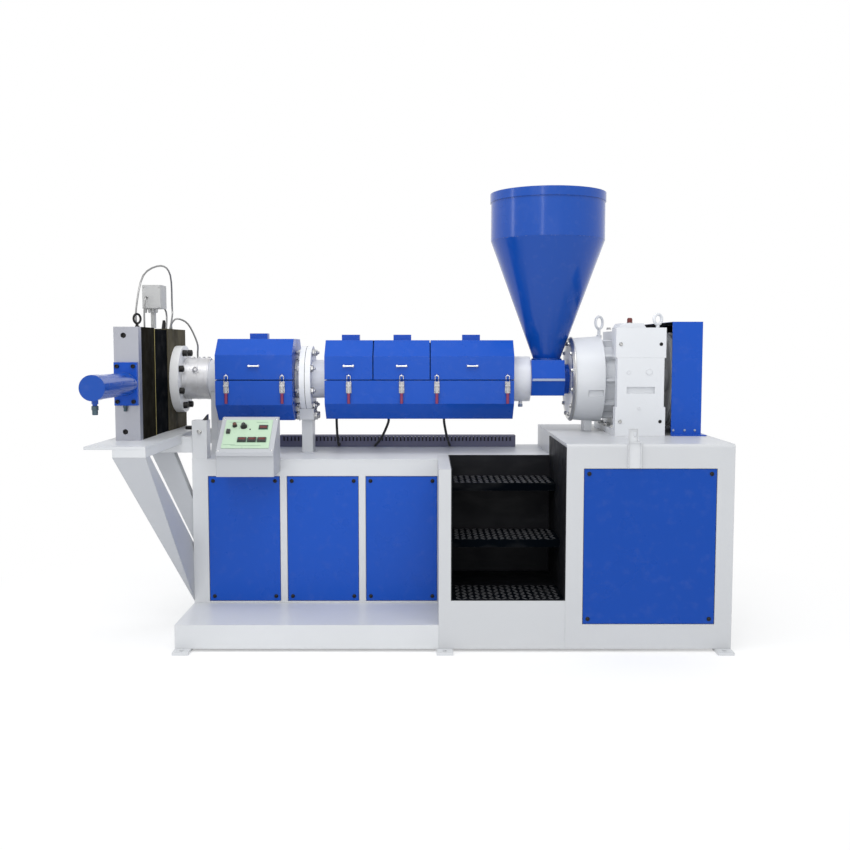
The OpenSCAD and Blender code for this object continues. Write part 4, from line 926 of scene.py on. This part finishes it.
piece("guard_shade_sheets", guard_shade_sheets, black_sheet_and_guard_shade)
piece("gearbox_bolts", gearbox_bolts, ground)
piece("gearbox_bore_shade", gearbox_bore_shade, blackened)
piece("case_bosses", case_bosses, cast_white)
piece("breather_plug", breather_plug, breather_red)
piece("breather_nut", breather_nut, ground)
piece("bell_ring", bell_ring, ground)
piece("guard_bolts", guard_bolts, joint_grey)


# Hopper and feed throat
RIM_R, RIM_STEPS = 0.0035, 12
CONE_FOOT_R, DRUM_WELD_IN, HOPPER_WELD = 0.0635, 0.004, 0.003
HOPPER_BOLTS, HOPPER_BOLT, HOPPER_BOLT_CIRCLE = 6, 0.0042, 0.0668
SPIGOT_LEN = 0.029
JOINT_HALF, JOINT_T, JOINT_IN, JOINT_ROUND = 0.0055, 0.0012, 0.002, 0.0008
NIPPLE = [(0, -0.014), (0.0108, -0.014), (0.0108, -0.002), (0.008, 0), (0.006, 0), (0.006, -0.006),
          (0, -0.006)]


def hopper_rim(bm):
    mid = middle("hopper_drum")
    low, high = foot_of["hopper_drum"], top_of["hopper_drum"]
    radius = (high.x - low.x) / 2
    turns = [2 * math.pi * k / RIM_STEPS for k in range(RIM_STEPS + 1)]
    bead = [(radius - RIM_R + RIM_R * math.cos(a), -RIM_R + RIM_R * math.sin(a)) for a in turns]
    lathe(bm, facing((mid.x, mid.y, high.z), Z), bead, 96)
    cone_low, cone_high = foot_of["hopper_cone"], top_of["hopper_cone"]
    seam_y = mid.y + radius - DRUM_WELD_IN
    weld(bm, (mid.x, mid.y + CONE_FOOT_R, cone_low.z + 0.01), (mid.x, seam_y, cone_high.z), HOPPER_WELD)
    weld(bm, (mid.x, seam_y, cone_high.z), (mid.x, seam_y, high.z - 0.042), HOPPER_WELD)


def hopper_bolts(bm):
    mid, low = middle("hopper_drum"), foot_of["hopper_cone"]
    for k in range(HOPPER_BOLTS):
        a = math.radians(30 + 60 * k)
        x, y = mid.x + HOPPER_BOLT_CIRCLE * math.cos(a), mid.y + HOPPER_BOLT_CIRCLE * math.sin(a)
        hex_bolt(bm, (x, y, low.z + 0.006), Z, HOPPER_BOLT)


def throat_joint(bm):
    low, high = foot_of["feed_throat"], top_of["feed_throat"]
    x0, x1 = low.x + JOINT_IN, high.x - SPIGOT_LEN - JOINT_IN
    for y, out in ((low.y, -JOINT_T), (high.y, JOINT_T)):
        y0, y1 = sorted((y - 3 * out, y + out))
        block(bm, (x0, y0, axis.z - JOINT_HALF), (x1, y1, axis.z + JOINT_HALF), JOINT_ROUND)
    lathe(bm, facing((low.x - 0.04, axis.y, axis.z - 0.131), -Z), NIPPLE, 6)


piece("hopper_rim", hopper_rim, hopper_blue)
piece("hopper_bolts", hopper_bolts, blue)
piece("throat_joint", throat_joint, joint_grey)


# Screen changer
PLATE_SCREW, PLATE_SCREW_X, PLATE_SCREW_Z = 0.011, 0.014, 0.016
FACE_SCREW, FACE_SCREW_RISE = 0.0125, 0.196
STRIP_OVER = 0.001
PORT_BODY = [(0, 0), (0.0085, 0), (0.0105, 0.002), (0.0105, 0.028), (0, 0.028)]
PORT_NUT = [(0, 0.018), (0.0135, 0.018), (0.0135, 0.032), (0.0115, 0.034), (0, 0.034)]
ELBOW = [(0, 0), (0.009, 0), (0.009, 0.008), (0.0065, 0.01), (0.0065, 0.024), (0, 0.024)]
GLANDS, GLAND_PITCH = 4, 0.0155
GLAND = [(0, 0), (0.0068, 0), (0.0068, 0.006), (0.0055, 0.0065), (0.0055, 0.015), (0.003, 0.018), (0, 0.018)]
BOX_H, BOX_LID_T, BOX_LID_IN, BOX_SCREW = 0.1, 0.0025, 0.002, 0.003


def changer_screws(bm):
    low, high = foot_of["cylinder_plate"], top_of["cylinder_plate"]
    for x in (low.x + PLATE_SCREW_X, high.x - PLATE_SCREW_X):
        for z in (low.z + PLATE_SCREW_Z, high.z - PLATE_SCREW_Z):
            socket_screw(bm, (x, low.y, z), FRONT, PLATE_SCREW)
    face = foot_of["changer_front_plate"]
    for rise in (-FACE_SCREW_RISE, FACE_SCREW_RISE):
        socket_screw(bm, (face.x + 0.04, face.y + 0.0125, axis.z + rise), FRONT, FACE_SCREW)


def seal_strips(bm):
    low, high = foot_of["slide_guard"], top_of["slide_guard"]
    edge = top_of["changer_yoke"].x
    block(bm, (high.x - STRIP_OVER, low.y, low.z + 0.001), (edge + STRIP_OVER, low.y + 0.005, high.z), 0.001)


def port_fittings(bm):
    low, plate = foot_of["hydraulic_cylinder"], foot_of["cylinder_plate"]
    port = facing((middle("hydraulic_cylinder").x, low.y + 0.03, low.z), Z)
    lathe(bm, port, PORT_BODY, 20)
    lathe(bm, port, PORT_NUT, 6)
    lathe(bm, facing((plate.x + 0.04, plate.y + 0.01, plate.z), -Z), ELBOW, 6)


def box_glands(bm):
    low, high = foot_of["junction_box"], top_of["junction_box"]
    box_z, lid_y = high.z - BOX_H, low.y - BOX_LID_T
    for k in range(GLANDS):
        lathe(bm, facing((low.x + 0.009 + GLAND_PITCH * k, low.y + 0.018, box_z), -Z), GLAND, 12)
    block(bm, (low.x + BOX_LID_IN, lid_y, box_z + BOX_LID_IN),
          (high.x - BOX_LID_IN, low.y, high.z - BOX_LID_IN))
    for x in (low.x + 0.007, high.x - 0.007):
        for z in (box_z + 0.008, high.z - 0.008):
            pan_screw(bm, (x, lid_y, z), FRONT, BOX_SCREW)


piece("changer_screws", changer_screws, blackened)
piece("seal_strips", seal_strips, brass)
piece("port_fittings", port_fittings, zinc)
piece("box_glands", box_glands, grey_moulding)


# Wires in the slotted duct
WIRE_BUNDLE = [(0.011, 0.011, 0.0055), (0.024, 0.012, 0.006), (0.038, 0.011, 0.0055), (0.049, 0.013, 0.0045),
               (0.014, 0.025, 0.006), (0.028, 0.027, 0.0065), (0.043, 0.026, 0.0058), (0.01, 0.038, 0.005),
               (0.022, 0.04, 0.0055), (0.036, 0.04, 0.006), (0.048, 0.039, 0.005)]
WIRE_IN = 0.004


def duct_wires(bm):
    low, high = foot_of["cable_duct"], top_of["cable_duct"]
    for back, rise, radius in WIRE_BUNDLE:
        y, z = low.y + back, low.z + rise
        rod(bm, (low.x + WIRE_IN, y, z), (high.x - WIRE_IN, y, z), radius, WIRE_SIDES)


piece("duct_wires", duct_wires, rubber)


# Front deck post and the welds of the posts
post_low, post_high = min(solids("deck_posts"), key=lambda box: box[0].y)
POST_PLUG = [(0, -0.002), (0.009, 0), (0.009, 0.03), (0.0065, 0.034), (0, 0.034)]
POST_BOLT = 0.01
STOP_WEDGE, STOP_T = [(0.0, 0.0), (0.022, 0.0), (0.022, 0.026)], 0.03
WELD_LEAN = 0.001


def post_fittings(bm):
    lathe(bm, facing((post_low.x, post_low.y + 0.03, post_high.z - 0.034), -X), POST_PLUG, 6)


def post_bolt(bm):
    mid = (post_low.x + post_high.x) / 2
    hex_bolt(bm, (mid, post_low.y, post_high.z - 0.05), FRONT, POST_BOLT, turn=0.2)


def post_stop(bm):
    place = facing((post_high.x - 0.024, post_low.y + 0.05, post_high.z), FRONT)
    prism(bm, place, STOP_WEDGE, 0, STOP_T)


def frame_welds(bm):
    for low, high in (*solids("deck_posts"), *solids("barrel_post"), *solids("front_support")):
        corners = [(low.x, low.y), (high.x, low.y), (high.x, high.y), (low.x, high.y), (low.x, low.y)]
        for (x0, y0), (x1, y1) in zip(corners, corners[1:]):
            weld(bm, (x0, y0, low.z), (x1, y1, low.z))
    shelf_low, shelf_high = foot_of["shelf_frame"], top_of["shelf_frame"]
    for low, high in solids("deck_posts"):
        for y in (low.y, high.y):
            weld(bm, (WELD_LEAN + low.x, y, shelf_low.z), (low.x, y, shelf_high.z))


piece("post_fittings", post_fittings, blackened)
piece("post_bolt", post_bolt, ground)
piece("post_stop", post_stop, black_moulding)
piece("frame_welds", frame_welds, white)


# Floor, light and camera
FLOOR_SIZE = 40
FADE_START, FADE_END = 0.9, 2.4
NEAR_SHARE = 0.35
FLOOR_WHITE, FLOOR_SHADE = (0.95, 0.95, 0.95), (0.93, 0.93, 0.94)
SKY, SKY_STRENGTH = (0.97, 0.985, 1.0, 1), 0.92

# Softboxes: place, target, width and height, watts
SOFTBOXES = {
    "key_light": ((-1.8, -5.0, 3.8), (-0.3, 0, 0.7), (3.4, 2.0), 27),
    "fill_light": ((0.9, -5.6, 1.5), (-0.5, 0, 0.7), (2.6, 1.6), 14),
    "strip_light": ((-1.15, -5.4, 2.1), (0.3, 0, 1.5), (0.35, 2.6), 14),
    "side_strip": ((-3.6, -0.5, 2.2), (0.5, 0, 1.6), (0.4, 2.4), 14),
    "top_light": ((-0.1, -1.5, 4.6), (0, -0.2, 0.5), (4.0, 1.6), 68),
}


def plain_sight(tree):
    """1 for what is seen directly, mirrored or through glass, 0 for light on surfaces."""
    path = tree.nodes.new("ShaderNodeLightPath")
    total = path.outputs["Is Camera Ray"]
    for ray in ("Is Glossy Ray", "Is Transmission Ray"):
        node = tree.nodes.new("ShaderNodeMath")
        node.operation = "MAXIMUM"
        tree.links.new(total, node.inputs[0])
        tree.links.new(path.outputs[ray], node.inputs[1])
        total = node.outputs[0]
    return total


def fade_to_white(f):
    """Away from the machine the floor is plain white to the camera, so that no horizon shows."""
    reach = f.add("ShaderNodeVectorMath")
    reach.operation = "LENGTH"
    f.feed(reach.inputs[0], f.place)
    seen = plain_sight(f.tree)
    share = f.times(seen, f.between(reach.outputs["Value"], FADE_START, FADE_END, NEAR_SHARE, 1))
    glow = f.add("ShaderNodeEmission", Color=(1, 1, 1, 1), Strength=1.0)
    mix = f.add("ShaderNodeMixShader")
    f.feed(mix.inputs[0], share)
    f.feed(mix.inputs[1], f.shader.outputs[0])
    f.feed(mix.inputs[2], glow.outputs[0])
    f.feed(f.tree.nodes["Material Output"].inputs["Surface"], mix.outputs[0])


def pale_floor():
    bm = bmesh.new()
    bmesh.ops.create_grid(bm, x_segments=1, y_segments=1, size=FLOOR_SIZE / 2)
    mesh = bpy.data.meshes.new("floor")
    bm.to_mesh(mesh)
    bm.free()
    floor = bpy.data.objects.new("floor", mesh)
    bpy.context.scene.collection.objects.link(floor)
    f = Finish("pale_floor", FLOOR_WHITE, 0.8)
    f.tint(f.between(f.noise(1.5), 0.4, 0.7, 0, 0.2), FLOOR_SHADE)
    fade_to_white(f)
    mesh.materials.append(f.material)


def soft_world():
    """Even light from all round, and plain white where the world itself is seen."""
    world = bpy.data.worlds.new("studio")
    bpy.context.scene.world = world
    world.use_nodes = True
    nodes, links = world.node_tree.nodes, world.node_tree.links
    light = nodes["Background"]
    light.inputs["Color"].default_value = SKY
    light.inputs["Strength"].default_value = SKY_STRENGTH
    seen = nodes.new("ShaderNodeBackground")
    seen.inputs["Color"].default_value = (1, 1, 1, 1)
    mix = nodes.new("ShaderNodeMixShader")
    links.new(plain_sight(nodes.id_data), mix.inputs[0])
    links.new(light.outputs[0], mix.inputs[1])
    links.new(seen.outputs[0], mix.inputs[2])
    links.new(mix.outputs[0], nodes["World Output"].inputs["Surface"])


def softbox(name, place, target, size, power):
    data = bpy.data.lights.new(name, "AREA")
    data.shape = "RECTANGLE"
    data.size, data.size_y = size
    data.energy = power
    lamp = bpy.data.objects.new(name, data)
    bpy.context.scene.collection.objects.link(lamp)
    lamp.location = place
    lamp.rotation_euler = (Vector(target) - Vector(place)).to_track_quat("-Z", "Y").to_euler()


def photo_camera():
    data = bpy.data.cameras.new("camera")
    data.sensor_width = SENSOR
    data.lens = SENSOR * FOCAL_PX / PICTURE_PX
    camera = bpy.data.objects.new("camera", data)
    bpy.context.scene.collection.objects.link(camera)
    camera.location = CAMERA_PLACE
    camera.rotation_euler = (math.radians(90 - CAMERA_PITCH), 0, 0)
    bpy.context.scene.camera = camera


pale_floor()
soft_world()
for lamp_name, lamp_settings in SOFTBOXES.items():
    softbox(lamp_name, *lamp_settings)
photo_camera()
bpy.context.scene.view_settings.view_transform = "Standard"
